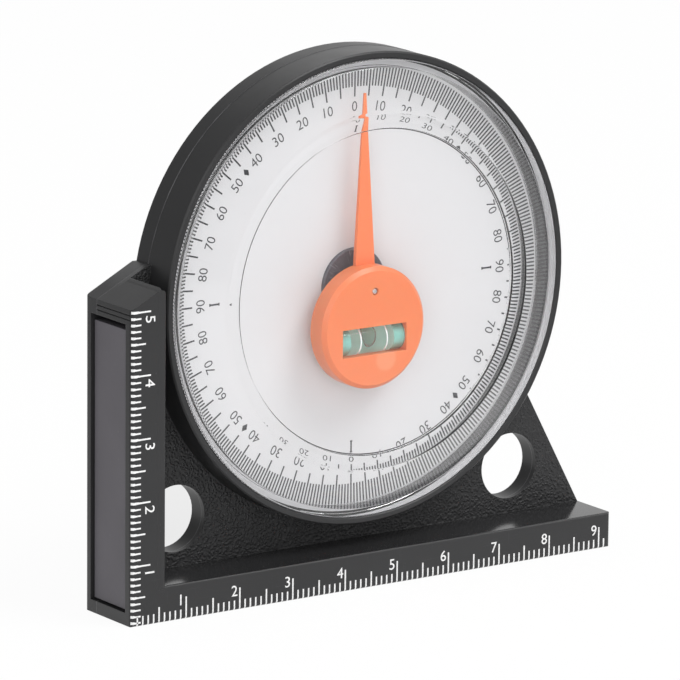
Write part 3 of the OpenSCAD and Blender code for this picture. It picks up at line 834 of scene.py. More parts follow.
class Geometry:
    """Geometry Nodes trees, each built once, and their use."""

    half_every: float = 5.0
    full_every: float = 10.0
    tick_rings: int = 13
    root_crowding: float = 1.8
    weld_distance: float = 0.000001

    def __init__(self) -> None:
        """Builds every tree."""
        self.tick_ring = self._tick_ring()
        self.diamond_ring = self._diamond_ring()
        self.tick_row = self._tick_row()
        self.smooth = self._smooth()

    @staticmethod
    def _start(name: str,
               inputs: dict[str, tuple[str, Any]]) -> tuple[bpy.types.NodeTree, Pen, bpy.types.Node, bpy.types.Node]:
        """Makes a tree with a geometry in and out and its named inputs.

        Args:
            name: The tree's name.
            inputs: Kind and default value of each further input.

        Returns:
            The tree, its pen, its input node and its output node.
        """
        tree = bpy.data.node_groups.new(name, "GeometryNodeTree")
        tree.interface.new_socket(name="Geometry", in_out="INPUT", socket_type="NodeSocketGeometry")
        tree.interface.new_socket(name="Geometry", in_out="OUTPUT", socket_type="NodeSocketGeometry")
        for label, (kind, value) in inputs.items():
            socket = tree.interface.new_socket(name=label, in_out="INPUT", socket_type="NodeSocket" + kind)
            if value is not None:
                socket.default_value = value
        pen = Pen(tree)
        return tree, pen, pen.add("NodeGroupInput"), pen.add("NodeGroupOutput")

    @staticmethod
    def _close(pen: Pen, sink: bpy.types.Node, instances: Source, material: Source) -> None:
        """Ends a tree in real geometry with its material.

        Args:
            pen: Pen of the tree.
            sink: The tree's output node.
            instances: The geometry that is made real.
            material: The material that it gets.
        """
        real = pen.add("GeometryNodeRealizeInstances", {0: instances})
        final = pen.add("GeometryNodeSetMaterial", {"Geometry": real.outputs[0], "Material": material})
        pen.feed(sink, 0, final.outputs[0])

    @staticmethod
    def _spots(pen: Pen, source: bpy.types.Node,
               radius: Source) -> tuple[bpy.types.NodeSocket, bpy.types.NodeSocket]:
        """Points on a circle about an axis along Y.

        Args:
            pen: Pen of the tree.
            source: The tree's input node, with Count, First Turn, Centre.
            radius: Radius of each point.

        Returns:
            The points, and the rotation at each point.
        """
        index = pen.add("GeometryNodeInputIndex").outputs[0]
        step = pen.math("DIVIDE", math.tau, source.outputs["Count"])
        turn = pen.math("MULTIPLY_ADD", index, step, source.outputs["First Turn"])
        spot = pen.join(x=pen.math("MULTIPLY", radius, pen.math("SINE", turn)),
                        z=pen.math("MULTIPLY", radius, pen.math("COSINE", turn)))
        line = pen.add("GeometryNodeMeshLine", {"Count": source.outputs["Count"]})
        place = pen.vector("ADD", spot, source.outputs["Centre"]).outputs[0]
        points = pen.add("GeometryNodeSetPosition", {"Geometry": line.outputs[0], "Position": place}).outputs[0]
        return points, pen.join(y=turn)

    def _tick_ring(self) -> bpy.types.NodeTree:
        """Ring of radial ticks, every so many of them long.

        Returns:
            The tree.
        """
        inputs = {
            "Count": ("Int", 360), "Every": ("Int", 5), "First Turn": ("Float", 0.0),
            "Centre": ("Vector", (0.0, 0.0, 0.0)), "Outer Radius": ("Float", 0.03),
            "Short Length": ("Float", 0.003), "Long Length": ("Float", 0.005), "Width": ("Float", 0.0002),
            "Thickness": ("Float", 0.00002), "Material": ("Material", None),
        }
        tree, pen, source, sink = self._start("tick_ring", inputs)
        index = pen.add("GeometryNodeInputIndex").outputs[0]
        is_long = pen.math("LESS_THAN", pen.math("MODULO", index, source.outputs["Every"]), 0.5)
        extra = pen.math("SUBTRACT", source.outputs["Long Length"], source.outputs["Short Length"])
        length = pen.math("MULTIPLY_ADD", is_long, extra, source.outputs["Short Length"])
        radius = pen.math("MULTIPLY_ADD", length, -0.5, source.outputs["Outer Radius"])
        points, turn = self._spots(pen, source, radius)
        scale = pen.join(source.outputs["Width"], source.outputs["Thickness"], length)
        tick = pen.add("GeometryNodeMeshCube")
        copies = pen.add("GeometryNodeInstanceOnPoints", {"Points": points, "Instance": tick.outputs[0],
                                                          "Rotation": turn, "Scale": scale})
        self._close(pen, sink, copies.outputs[0], source.outputs["Material"])
        return tree

    def _diamond_ring(self) -> bpy.types.NodeTree:
        """Ring of flat diamonds that point outwards.

        Returns:
            The tree.
        """
        inputs = {
            "Count": ("Int", 4), "First Turn": ("Float", 0.0), "Centre": ("Vector", (0.0, 0.0, 0.0)),
            "Radius": ("Float", 0.03), "Width": ("Float", 0.001), "Length": ("Float", 0.0015),
            "Thickness": ("Float", 0.00002), "Material": ("Material", None),
        }
        tree, pen, source, sink = self._start("diamond_ring", inputs)
        points, turn = self._spots(pen, source, source.outputs["Radius"])
        prism = pen.add("GeometryNodeMeshCylinder", {"Vertices": 4, "Radius": 0.5, "Depth": 1.0})
        upright = pen.add("GeometryNodeTransform", {"Geometry": prism.outputs[0],
                                                    "Rotation": (math.radians(90), 0.0, 0.0)})
        scale = pen.join(source.outputs["Width"], source.outputs["Thickness"], source.outputs["Length"])
        copies = pen.add("GeometryNodeInstanceOnPoints", {"Points": points, "Instance": upright.outputs[0],
                                                          "Rotation": turn, "Scale": scale})
        self._close(pen, sink, copies.outputs[0], source.outputs["Material"])
        return tree

    def _tick_row(self) -> bpy.types.NodeTree:
        """Row of ruler ticks that bend round the stand's rounded edge.

        The row runs along X, or along Z with On Upright, and each tick reaches inwards from the edge.

        Returns:
            The tree.
        """
        inputs = {
            "Count": ("Int", 10), "Pitch": ("Float", 0.001), "First": ("Float", 0.0), "Edge": ("Float", 0.0),
            "Start": ("Float", 0.0), "Face": ("Float", 0.0), "Rounding": ("Float", 0.0005),
            "Short Tip": ("Float", 0.002), "Half Tip": ("Float", 0.003), "Full Tip": ("Float", 0.004),
            "Width": ("Float", 0.0003), "Root Swell": ("Float", 0.0), "Swell Reach": ("Float", 0.001),
            "Thickness": ("Float", 0.00003), "On Upright": ("Bool", False), "Material": ("Material", None),
        }
        tree, pen, source, sink = self._start("tick_row", inputs)
        index = pen.add("GeometryNodeInputIndex").outputs[0]
        number = pen.math("ADD", index, 1.0)
        is_half = pen.math("LESS_THAN", pen.math("MODULO", number, self.half_every), 0.5)
        is_full = pen.math("LESS_THAN", pen.math("MODULO", number, self.full_every), 0.5)
        half_extra = pen.math("SUBTRACT", source.outputs["Half Tip"], source.outputs["Short Tip"])
        full_extra = pen.math("SUBTRACT", source.outputs["Full Tip"], source.outputs["Half Tip"])
        tip = pen.math("MULTIPLY_ADD", is_half, half_extra, source.outputs["Short Tip"])
        tip = pen.math("MULTIPLY_ADD", is_full, full_extra, tip)
        length = pen.math("SUBTRACT", tip, source.outputs["Start"])
        middle = pen.math("MULTIPLY_ADD", length, 0.5, source.outputs["Start"])
        along = pen.math("MULTIPLY_ADD", index, source.outputs["Pitch"], source.outputs["First"])
        spot = pen.join(x=along, z=middle)
        line = pen.add("GeometryNodeMeshLine", {"Count": source.outputs["Count"]})
        points = pen.add("GeometryNodeSetPosition", {"Geometry": line.outputs[0], "Position": spot}).outputs[0]
        cube = pen.add("GeometryNodeMeshCube", {"Vertices Z": self.tick_rings}).outputs[0]
        own = pen.split(pen.add("GeometryNodeInputPosition").outputs[0])
        share = pen.math("POWER", pen.math("ADD", own["Z"], 0.5), self.root_crowding)
        in_reach = pen.math("DIVIDE", pen.math("MULTIPLY", share, length), source.outputs["Swell Reach"])
        near_root = pen.remap(in_reach, 0.65, 1.0, 1.0, 0.0)
        swell = pen.math("MULTIPLY_ADD", near_root, source.outputs["Root Swell"], 1.0)
        shaped = pen.join(pen.math("MULTIPLY", own["X"], swell), own["Y"], pen.math("SUBTRACT", share, 0.5))
        tick = pen.add("GeometryNodeSetPosition", {"Geometry": cube, "Position": shaped}).outputs[0]
        scale = pen.join(source.outputs["Width"], source.outputs["Thickness"], length)
        copies = pen.add("GeometryNodeInstanceOnPoints", {"Points": points, "Instance": tick, "Scale": scale})
        real = pen.add("GeometryNodeRealizeInstances", {0: copies.outputs[0]}).outputs[0]
        here = pen.split(pen.add("GeometryNodeInputPosition").outputs[0])
        radius = source.outputs["Rounding"]
        missing = pen.math("MAXIMUM", pen.math("SUBTRACT", radius, here["Z"]), 0.0)
        squares = pen.math("SUBTRACT", pen.math("MULTIPLY", radius, radius), pen.math("MULTIPLY", missing, missing))
        fall = pen.math("SUBTRACT", radius, pen.math("SQRT", pen.math("MAXIMUM", squares, 0.0)))
        face = pen.math("ADD", pen.math("ADD", here["Y"], fall), source.outputs["Face"])
        inward = pen.math("ADD", here["Z"], source.outputs["Edge"])
        on_base = pen.join(here["X"], face, inward)
        on_upright = pen.join(inward, face, here["X"])
        chosen = pen.add("GeometryNodeSwitch", {0: source.outputs["On Upright"], 1: on_base, 2: on_upright},
                         input_type="VECTOR").outputs[0]
        bent = pen.add("GeometryNodeSetPosition", {"Geometry": real, "Position": chosen}).outputs[0]
        turned = pen.add("GeometryNodeFlipFaces", {0: bent, 1: source.outputs["On Upright"]}).outputs[0]
        self._close(pen, sink, turned, source.outputs["Material"])
        return tree

    def _smooth(self) -> bpy.types.NodeTree:
        """Joins loose facets and shades them smoothly up to a set angle.

        Returns:
            The tree.
        """
        inputs = {"Angle": ("Float", 0.5)}
        tree, pen, source, sink = self._start("smooth_facets", inputs)
        joined = pen.add("GeometryNodeMergeByDistance", {"Geometry": source.outputs["Geometry"],
                                                         "Distance": self.weld_distance}).outputs[0]
        faces = pen.add("GeometryNodeSetShadeSmooth", {"Geometry": joined, "Shade Smooth": True}).outputs[0]
        angle = pen.add("GeometryNodeInputMeshEdgeAngle").outputs[0]
        sharp = pen.add("FunctionNodeCompare", {0: angle, 1: source.outputs["Angle"]}, data_type="FLOAT",
                        operation="GREATER_THAN").outputs[0]
        edges = pen.add("GeometryNodeSetShadeSmooth", {"Geometry": faces, "Selection": sharp, "Shade Smooth": False},
                        domain="EDGE").outputs[0]
        pen.feed(sink, 0, edges)
        return tree

    @staticmethod
    def settle(modifier: bpy.types.Modifier, values: dict[str, Any]) -> None:
        """Sets a modifier's inputs by their sockets' identifiers.

        Args:
            modifier: The Geometry Nodes modifier.
            values: A value for each input's name.
        """
        for item in modifier.node_group.interface.items_tree:
            if item.item_type == "SOCKET" and item.in_out == "INPUT" and item.name in values:
                modifier[item.identifier] = values[item.name]

    def make(self, name: str, tree: bpy.types.NodeTree, values: dict[str, Any]) -> bpy.types.Object:
        """Turns a tree's result into a plain mesh.

        Args:
            name: Name of the piece.
            tree: The tree that makes it.
            values: A value for each of the tree's inputs.

        Returns:
            The piece, at the origin.
        """
        host = bpy.data.objects.new(name + "_host", bpy.data.meshes.new(name + "_host"))
        bpy.context.scene.collection.objects.link(host)
        modifier = host.modifiers.new("tree", "NODES")
        modifier.node_group = tree
        self.settle(modifier, values)
        bpy.context.view_layer.update()
        depsgraph = bpy.context.evaluated_depsgraph_get()
        mesh = bpy.data.meshes.new_from_object(host.evaluated_get(depsgraph), depsgraph=depsgraph)
        mesh.name = name
        bpy.data.objects.remove(host)
        return link(name, mesh, values.get("Material"))

    def soften(self, piece: bpy.types.Object, degrees: float = 28.0) -> None:
        """Shades a CAD node smoothly over its facets.

        Args:
            piece: The node.
            degrees: Edges sharper than this stay sharp.
        """
        modifier = piece.modifiers.new("smooth_facets", "NODES")
        modifier.node_group = self.smooth
        self.settle(modifier, {"Angle": math.radians(degrees)})


def link(name: str, mesh: bpy.types.Mesh, material: Optional[bpy.types.Material]) -> bpy.types.Object:
    """Puts a mesh in the scene as a piece.

    Args:
        name: Name of the piece.
        mesh: Its mesh, with its place in it.
        material: Its one material, if it has none yet.

    Returns:
        The piece.
    """
    if material is not None and material.name not in mesh.materials:
        mesh.materials.clear()
        mesh.materials.append(material)
    piece = bpy.data.objects.new(name, mesh)
    bpy.context.scene.collection.objects.link(piece)
    return piece


def lathe(name: str, profile: Sequence[tuple[float, float]], centre: Vector, axis: str, steps: int,
          material: bpy.types.Material, sharp: float = 35.0) -> bpy.types.Object:
    """Turns a closed profile into a solid.

    Args:
        name: Name of the piece.
        profile: Radius and place along the axis of each point, from the axis to the axis.
        centre: A point on the axis.
        axis: "X" or "Y".
        steps: Number of steps round.
        material: The piece's material.
        sharp: Edges sharper than this many degrees stay sharp.

    Returns:
        The piece.
    """
    form = bmesh.new()
    rings: list[list[bmesh.types.BMVert]] = []
    for radius, along in profile:
        count = 1 if radius == 0 else steps
        ring = []
        for step in range(count):
            turn = math.tau * step / steps
            side, rise = radius * math.sin(turn), radius * math.cos(turn)
            offset = Vector((side, along, rise)) if axis == "Y" else Vector((along, side, rise))
            ring.append(form.verts.new(centre + offset))
        rings.append(ring)
    for first, second in zip(rings, rings[1:]):
        for step in range(steps):
            after = (step + 1) % steps
            corners = [first[step % len(first)], first[after % len(first)], second[after % len(second)],
                       second[step % len(second)]]
            form.faces.new(list(dict.fromkeys(corners)))
    bmesh.ops.recalc_face_normals(form, faces=form.faces)
    mesh = bpy.data.meshes.new(name)
    form.to_mesh(mesh)
    form.free()
    mesh.polygons.foreach_set("use_smooth", [True] * len(mesh.polygons))
    mesh.set_sharp_from_angle(angle=math.radians(sharp))
    return link(name, mesh, material)


def corner(centre: tuple[float, float], radius: float, start: float, end: float,
           steps: int = 6) -> list[tuple[float, float]]:
    """Points of a rounded profile corner.

    Args:
        centre: Middle of the rounding.
        radius: Its radius.
        start: First angle, in degrees.
        end: Last angle, in degrees.
        steps: Number of steps.

    Returns:
        The points in order.
    """
    turns = [math.radians(start + (end - start) * step / steps) for step in range(steps + 1)]
    return [(centre[0] + radius * math.cos(turn), centre[1] + radius * math.sin(turn)) for turn in turns]


class Lettering:
    """Numerals as thin solids that face the front."""

    digit_height: float = 0.69
    curve_steps: int = 3
    weld_distance: float = 0.0000005

    def __init__(self, name: str, height: float, width_share: float, weight: float, thickness: float) -> None:
        """Keeps the size of the numerals.

        Args:
            name: Name of the piece they form.
            height: Height of a numeral.
            width_share: Width against the plain letter's.
            weight: Thickening of the strokes, as a share of the height.
            thickness: Depth of the ink.
        """
        self.name = name
        self.height = height
        self.width_share = width_share
        self.weight = weight
        self.thickness = thickness
        self.form = bmesh.new()

    def add(self, words: str, middle: Vector, turn: float) -> None:
        """Adds one number.

        Args:
            words: The number's digits.
            middle: Where its middle goes, on the printed face.
            turn: Its turn clockwise seen from the front, in radians.
        """
        curve = bpy.data.curves.new("numeral", "FONT")
        curve.body = words
        curve.size = self.height / self.digit_height
        curve.resolution_u = self.curve_steps
        curve.extrude = self.thickness / 2
        curve.offset = self.weight * self.height
        holder = bpy.data.objects.new("numeral", curve)
        bpy.context.scene.collection.objects.link(holder)
        depsgraph = bpy.context.evaluated_depsgraph_get()
        mesh = bpy.data.meshes.new_from_object(holder.evaluated_get(depsgraph), depsgraph=depsgraph)
        xs = [vert.co.x for vert in mesh.vertices]
        ys = [vert.co.y for vert in mesh.vertices]
        centred = Matrix.Translation((-(min(xs) + max(xs)) / 2, -(min(ys) + max(ys)) / 2, 0.0))
        narrow = Matrix.Diagonal((self.width_share, 1.0, 1.0, 1.0))
        stood = Matrix.Rotation(math.radians(90), 4, "X")
        turned = Matrix.Rotation(turn, 4, "Y")
        mesh.transform(Matrix.Translation(middle) @ turned @ stood @ narrow @ centred)
        self.form.from_mesh(mesh)
        bpy.data.objects.remove(holder)
        bpy.data.curves.remove(curve)
        bpy.data.meshes.remove(mesh)

    def finish(self, material: bpy.types.Material) -> bpy.types.Object:
        """Closes the solids.

        Args:
            material: The ink.

        Returns:
            The piece.
        """
        bmesh.ops.remove_doubles(self.form, verts=self.form.verts, dist=self.weld_distance)
        bmesh.ops.recalc_face_normals(self.form, faces=self.form.faces)
        mesh = bpy.data.meshes.new(self.name)
        self.form.to_mesh(mesh)
        self.form.free()
        return link(self.name, mesh, material)


def report(piece: bpy.types.Object, body: str) -> None:
    """Logs a finished piece.

    Args:
        piece: The piece.
        body: The body that carries it.
    """
    LOG.info("%s on %s: %d faces", piece.name, body, len(piece.data.polygons))


def paint(node: str, material: bpy.types.Material) -> bpy.types.Object:
    """Gives a CAD node its finish.

    Args:
        node: The node's name.
        material: The finish.

    Returns:
        The node's object.
    """
    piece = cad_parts[node]
    piece.data.materials.clear()
    piece.data.materials.append(material)
    LOG.info("%s dressed in %s", node, material.name)
    return piece


@dataclass
class DialFace:
    """Degree marks, index marks, diamonds and numerals printed on the card."""

    effects: Effects
    geometry: Geometry
    proud: float = 0.012 * MM
    sunk: float = 0.008 * MM
    print_drop: float = 0.25 * MM
    degrees_all: int = 360
    degrees_long: int = 5
    degrees_numbered: int = 10
    quarters: int = 4
    tick_outer: float = 35.0 * MM
    tick_short: float = 3.2 * MM
    tick_long: float = 4.8 * MM
    tick_width: float = 0.26 * MM
    index_outer: float = 27.0 * MM
    index_length: float = 1.95 * MM
    index_width: float = 0.28 * MM
    serif_width: float = 0.44 * MM
    serif_depth: float = 0.24 * MM
    serif_thickening: float = 1.1
    numeral_radius: float = 28.65 * MM
    numeral_height: float = 1.62 * MM
    numeral_width: float = 0.96
    numeral_weight: float = -0.006
    diamond_width: float = 1.0 * MM
    diamond_length: float = 1.5 * MM
    ink: PrintInk = PrintInk("dial_ink", (0.03, 0.03, 0.034), (0.12, 0.12, 0.125), 0.5, 0.4)
    card: PaperCard = PaperCard("dial_paper")

    def build(self) -> None:
        """Dresses the card and prints on it."""
        low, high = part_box("dial_card")
        middle = (low + high) / 2
        thickness = self.proud + self.sunk
        face = low.y + (self.sunk - self.proud) / 2
        centre = Vector((middle.x, face, middle.z - self.print_drop))
        ink = self.ink.build(self.effects)
        self.geometry.soften(paint("dial_card", self.card.build(self.effects)))
        plain = {"First Turn": 0.0, "Centre": centre, "Thickness": thickness, "Material": ink}
        serif = {**plain, "Thickness": thickness * self.serif_thickening}
        foot_outer = self.index_outer - self.index_length + self.serif_depth
        pieces = [
            self._ring("dial_ticks", self.degrees_all, self.tick_outer, (self.tick_short, self.tick_long),
                       self.tick_width, plain),
            self._ring("dial_index_marks", self.quarters, self.index_outer, (self.index_length, self.index_length),
                       self.index_width, plain),
            self._ring("dial_index_heads", self.quarters, self.index_outer, (self.serif_depth, self.serif_depth),
                       self.serif_width, serif),
            self._ring("dial_index_feet", self.quarters, foot_outer, (self.serif_depth, self.serif_depth),
                       self.serif_width, serif),
            self.geometry.make("dial_diamonds", self.geometry.diamond_ring, {
                **plain, "Count": self.quarters, "First Turn": math.radians(45), "Radius": self.numeral_radius,
                "Width": self.diamond_width, "Length": self.diamond_length,
            }),
            self._numerals(centre, thickness, ink),
        ]
        for piece in pieces:
            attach(piece, "housing")
            report(piece, "housing")

    def _ring(self, name: str, count: int, outer: float, lengths: tuple[float, float], width: float,
              plain: dict[str, Any]) -> bpy.types.Object:
        """Prints a ring of radial marks, every fifth of them long.

        Args:
            name: Name of the piece.
            count: Number of marks.
            outer: Radius of their outer ends.
            lengths: Length of a short and of a long mark.
            width: Their width.
            plain: Values that every print on the dial has.

        Returns:
            The piece.
        """
        return self.geometry.make(name, self.geometry.tick_ring, {
            **plain, "Count": count, "Every": self.degrees_long, "Outer Radius": outer, "Short Length": lengths[0],
            "Long Length": lengths[1], "Width": width,
        })

    def _numerals(self, centre: Vector, thickness: float, ink: bpy.types.Material) -> bpy.types.Object:
        """Prints the numerals of the four quadrants, each turned outwards.

        Args:
            centre: Middle of the print.
            thickness: Depth of the ink.
            ink: The ink.

        Returns:
            The piece.
        """
        numerals = Lettering("dial_numerals", self.numeral_height, self.numeral_width, self.numeral_weight, thickness)
        for degrees in range(0, self.degrees_all, self.degrees_numbered):
            shown = degrees % 180
            value = shown if shown <= 90 else 180 - shown
            turn = math.radians(degrees)
            spot = centre + Vector((math.sin(turn), 0.0, math.cos(turn))) * self.numeral_radius
            numerals.add(str(value), spot, turn)
        return numerals.finish(ink)


@dataclass(frozen=True)
class RulerPlan:
    """Sizes of one ruler's print."""

    marks: int
    start: float
    reach: tuple[float, float, float]
    rounding: float
    root_swell: float
    digit_back: float
    digit_middle: float
    digit_width: float
    digit_turn: float


@dataclass
class EdgeRulers:
    """Millimetre rulers printed along the base and the upright."""

    effects: Effects
    geometry: Geometry
    proud: float = 0.02 * MM
    sunk: float = 0.015 * MM
    pitch: float = 1.0 * MM
    numbered: int = 10
    zero_inset: float = 0.1 * MM
    zero_drop: float = 0.4 * MM
    tick_width: float = 0.26 * MM
    swell_reach: float = 0.7 * MM
    digit_height: float = 1.7 * MM
    digit_weight: float = 0.004
    base: RulerPlan = RulerPlan(marks=91, start=0.06 * MM, reach=(2.0 * MM, 3.0 * MM, 3.98 * MM), rounding=0.45 * MM,
                                root_swell=0.0, digit_back=1.0 * MM, digit_middle=3.55 * MM, digit_width=1.0,
                                digit_turn=0.0)
    upright: RulerPlan = RulerPlan(marks=50, start=0.1 * MM, reach=(1.58 * MM, 2.42 * MM, 3.35 * MM),
                                   rounding=0.8 * MM, root_swell=0.6, digit_back=1.24 * MM, digit_middle=3.25 * MM,
                                   digit_width=1.12, digit_turn=90.0)
    ink: PrintInk = PrintInk("ruler_ink", (0.86, 0.86, 0.86), (0.5, 0.5, 0.5), 0.45, 0.35)

    def build(self) -> None:
        """Prints both rulers."""
        ink = self.ink.build(self.effects)
        for edge in Edge:
            for piece in (self._ticks(edge, ink), self._digits(edge, ink)):
                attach(piece, "housing")
                report(piece, "housing")

    def _ticks(self, edge: Edge, ink: bpy.types.Material) -> bpy.types.Object:
        """Ticks of one ruler.

        Args:
            edge: The edge they stand on.
            ink: Their ink.

        Returns:
            The piece.
        """
        low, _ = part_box("front_housing")
        upright = edge is Edge.UPRIGHT
        plan = self.upright if upright else self.base
        side_gap = self.zero_inset if upright else -self.zero_drop
        zero = low.z - self.zero_drop if upright else low.x + self.zero_inset
        short, half, full = plan.reach
        return self.geometry.make(f"{edge.value}_ruler_ticks", self.geometry.tick_row, {
            "Count": plan.marks,
            "Pitch": self.pitch,
            "First": zero + self.pitch,
            "Edge": low.x if upright else low.z,
            "Start": plan.start,
            "Face": low.y + (self.sunk - self.proud) / 2,
            "Rounding": plan.rounding,
            "Short Tip": short + side_gap,
            "Half Tip": half + side_gap,
            "Full Tip": full + side_gap,
            "Width": self.tick_width,
            "Root Swell": plan.root_swell,
            "Swell Reach": self.swell_reach,
            "Thickness": self.proud + self.sunk,
            "On Upright": upright,
            "Material": ink,
        })

    def _digits(self, edge: Edge, ink: bpy.types.Material) -> bpy.types.Object:
        """Centimetre numerals of one ruler.

        Args:
            edge: The edge they belong to.
            ink: Their ink.

        Returns:
            The piece.
        """
        low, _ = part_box("front_housing")
        upright = edge is Edge.UPRIGHT
        plan = self.upright if upright else self.base
        face = low.y + (self.sunk - self.proud) / 2
        digits = Lettering(f"{edge.value}_ruler_numerals", self.digit_height, plan.digit_width, self.digit_weight,
                           self.proud + self.sunk)
        for number in range(1, plan.marks // self.numbered + 1):
            along = self.numbered * self.pitch * number - plan.digit_back
            x, z = (plan.digit_middle, along) if upright else (along, plan.digit_middle)
            spot = Vector((low.x + self.zero_inset + x, face, low.z - self.zero_drop + z))
            digits.add(str(number), spot, math.radians(plan.digit_turn))
        return digits.finish(ink)


@dataclass
class LensCup:
    """Clear cup over the dial: flat foot in the rim, shallow sloped shoulder, crest and recessed middle."""

    effects: Effects
    skirt_wall: float = 1.35 * MM
    cover: float = 1.25 * MM
    ring_cover: float = 0.95 * MM
    rim_drop: float = 3.0 * MM
    shoulder: float = 6.75 * MM
    shoulder_wall: float = 0.8 * MM
    edge_round: float = 0.35 * MM
    foot_round: float = 0.15 * MM
    cove_slope: float = 20.0
    cove_foot: float = 26.15 * MM
    riser_foot: float = 26.1 * MM
    middle_depth: float = 0.78 * MM
    inner_riser: float = 26.05 * MM
    crease_reach: float = 0.08 * MM
    skirt_round: float = 0.05 * MM
    guard: float = 0.03 * MM
    steps: int = 288
    crest_steps: int = 12
    foot_steps: int = 4
    cove_steps: int = 12
    crease_steps: int = 6
    finish: ClearPlastic = ClearPlastic("lens_clear")

    @property
    def lean(self) -> float:
        """Angle between the shoulder and the lens's axis, in radians."""
        return math.atan(self.shoulder / self.rim_drop)

    @property
    def tuck(self) -> float:
        """How far a rounding of radius one reaches along the flat front beside the shoulder."""
        return math.tan((math.pi / 2 - self.lean) / 2)

    def build(self) -> None:
        """Builds the cup in the place of the CAD lens."""
        low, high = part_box("lens")
        centre = Vector(((low.x + high.x) / 2, 0.0, (low.z + high.z) / 2))
        profile = self._face(low.y, (high.x - low.x) / 2) + self._inside(low.y, high.y, (high.x - low.x) / 2)
        lens = lathe("lens_cup", profile, centre, "Y", self.steps, self.finish.build(self.effects))
        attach(lens, "housing")
        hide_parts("lens")
        report(lens, "housing")

    def _face(self, front: float, outer: float) -> list[tuple[float, float]]:
        """Outside of the cup, from its middle to its foot.

        Args:
            front: Place of the front plane along Y.
            outer: Radius of the foot.

        Returns:
            Radius and place of each point.
        """
        skirt = outer - self.skirt_wall
        foot = front + self.rim_drop
        sunk = front + self.middle_depth
        crest = skirt - self.shoulder - self.tuck * self.edge_round
        slope = math.radians(self.cove_slope)
        cove_top = (crest - self.edge_round * math.sin(slope), front + self.edge_round * (1 - math.cos(slope)))
        cove = self._cove(cove_top, math.tan(slope))
        points = [(0.0, sunk)]
        points += self._eased((self.riser_foot, sunk), (0.0, sunk), cove[0])
        points += self._eased(cove[0], (self.riser_foot, sunk), cove[1])
        points += cove[1:-1]
        points += corner((crest, front + self.edge_round), self.edge_round, -90 - self.cove_slope,
                         -math.degrees(self.lean), self.crest_steps)
        guard_fall = self.guard / math.tan(self.lean)
        points.append((points[-1][0] + self.guard, points[-1][1] + guard_fall))
        easing = self.foot_round
        points += [(skirt - self.guard, foot - guard_fall), (skirt, foot), (skirt + self.guard, foot),
                   (outer - easing - self.guard, foot)]
        points += corner((outer - easing, foot + easing), easing, -90, 0, self.foot_steps)
        points.append((outer, foot + easing + self.guard))
        return points

    def _inside(self, front: float, back: float, outer: float) -> list[tuple[float, float]]:
        """Back of the foot and the inside of the cup.

        Args:
            front: Place of the front plane along Y.
            back: Place of the foot's end along Y.
            outer: Radius of the foot.

        Returns:
            Radius and place of each point.
        """
        skirt = outer - self.skirt_wall
        easing = self.skirt_round
        inner_round = self.ring_cover / 4
        reach = self.tuck * inner_round
        bend = front + self.rim_drop + self.shoulder_wall / math.sin(self.lean)
        corner_r = skirt - (bend - front - self.ring_cover) * math.tan(self.lean)
        points = [(outer, back - easing), (outer - easing, back), (skirt + easing, back), (skirt, back - easing),
                  (skirt, bend + self.guard), (skirt - self.guard / 2, bend - self.guard)]
        points += self._guarded(corner((corner_r - reach, front + self.ring_cover + inner_round), inner_round,
                                       -math.degrees(self.lean), -90))
        level, sunk = front + self.ring_cover, front + self.cover
        top, low = (self.inner_riser, level), (self.inner_riser - (sunk - level) / 2, sunk)
        points += self._eased(top, points[-1], low) + self._eased(low, top, (0.0, sunk))
        return points + [(0.0, sunk)]

    def _cove(self, top: tuple[float, float], steepness: float) -> list[tuple[float, float]]:
        """Hollow slope from the crest down to the riser, level at its foot.

        Args:
            top: Where it leaves the crest's rounding.
            steepness: Its steepness there.

        Returns:
            Its points from the foot to the top.
        """
        width = top[0] - self.cove_foot
        points = []
        for step in range(self.cove_steps + 1):
            share = step / self.cove_steps
            fall = steepness * width * (1 - share ** 2) / 2
            points.append((self.cove_foot + width * share, top[1] + fall))
        return points

    def _eased(self, at: tuple[float, float], before: tuple[float, float],
               after: tuple[float, float]) -> list[tuple[float, float]]:
        """Small rounding at one crease of the face.

        Args:
            at: The crease.
            before: The point before it.
            after: The point after it.

        Returns:
            Points of the rounding, with a guard point outside each end.
        """
        spot = Vector(at)
        back = (Vector(before) - spot).normalized()
        on = (Vector(after) - spot).normalized()
        start, end = spot + back * self.crease_reach, spot + on * self.crease_reach
        points = [tuple(start + back * self.guard)]
        for step in range(self.crease_steps + 1):
            share = step / self.crease_steps
            points.append(tuple(start * (1 - share) ** 2 + spot * 2 * share * (1 - share) + end * share ** 2))
        return points + [tuple(end + on * self.guard)]

    def _guarded(self, points: list[tuple[float, float]]) -> list[tuple[float, float]]:
        """Adds a point just outside each end of a rounding, so that the flats beside it stay flat.

        Args:
            points: Points of the rounding.

        Returns:
            The points with the two more.
        """
        first = Vector(points[0]) + (Vector(points[0]) - Vector(points[1])).normalized() * self.guard
        last = Vector(points[-1]) + (Vector(points[-1]) - Vector(points[-2])).normalized() * self.guard
        return [tuple(first)] + points + [tuple(last)]


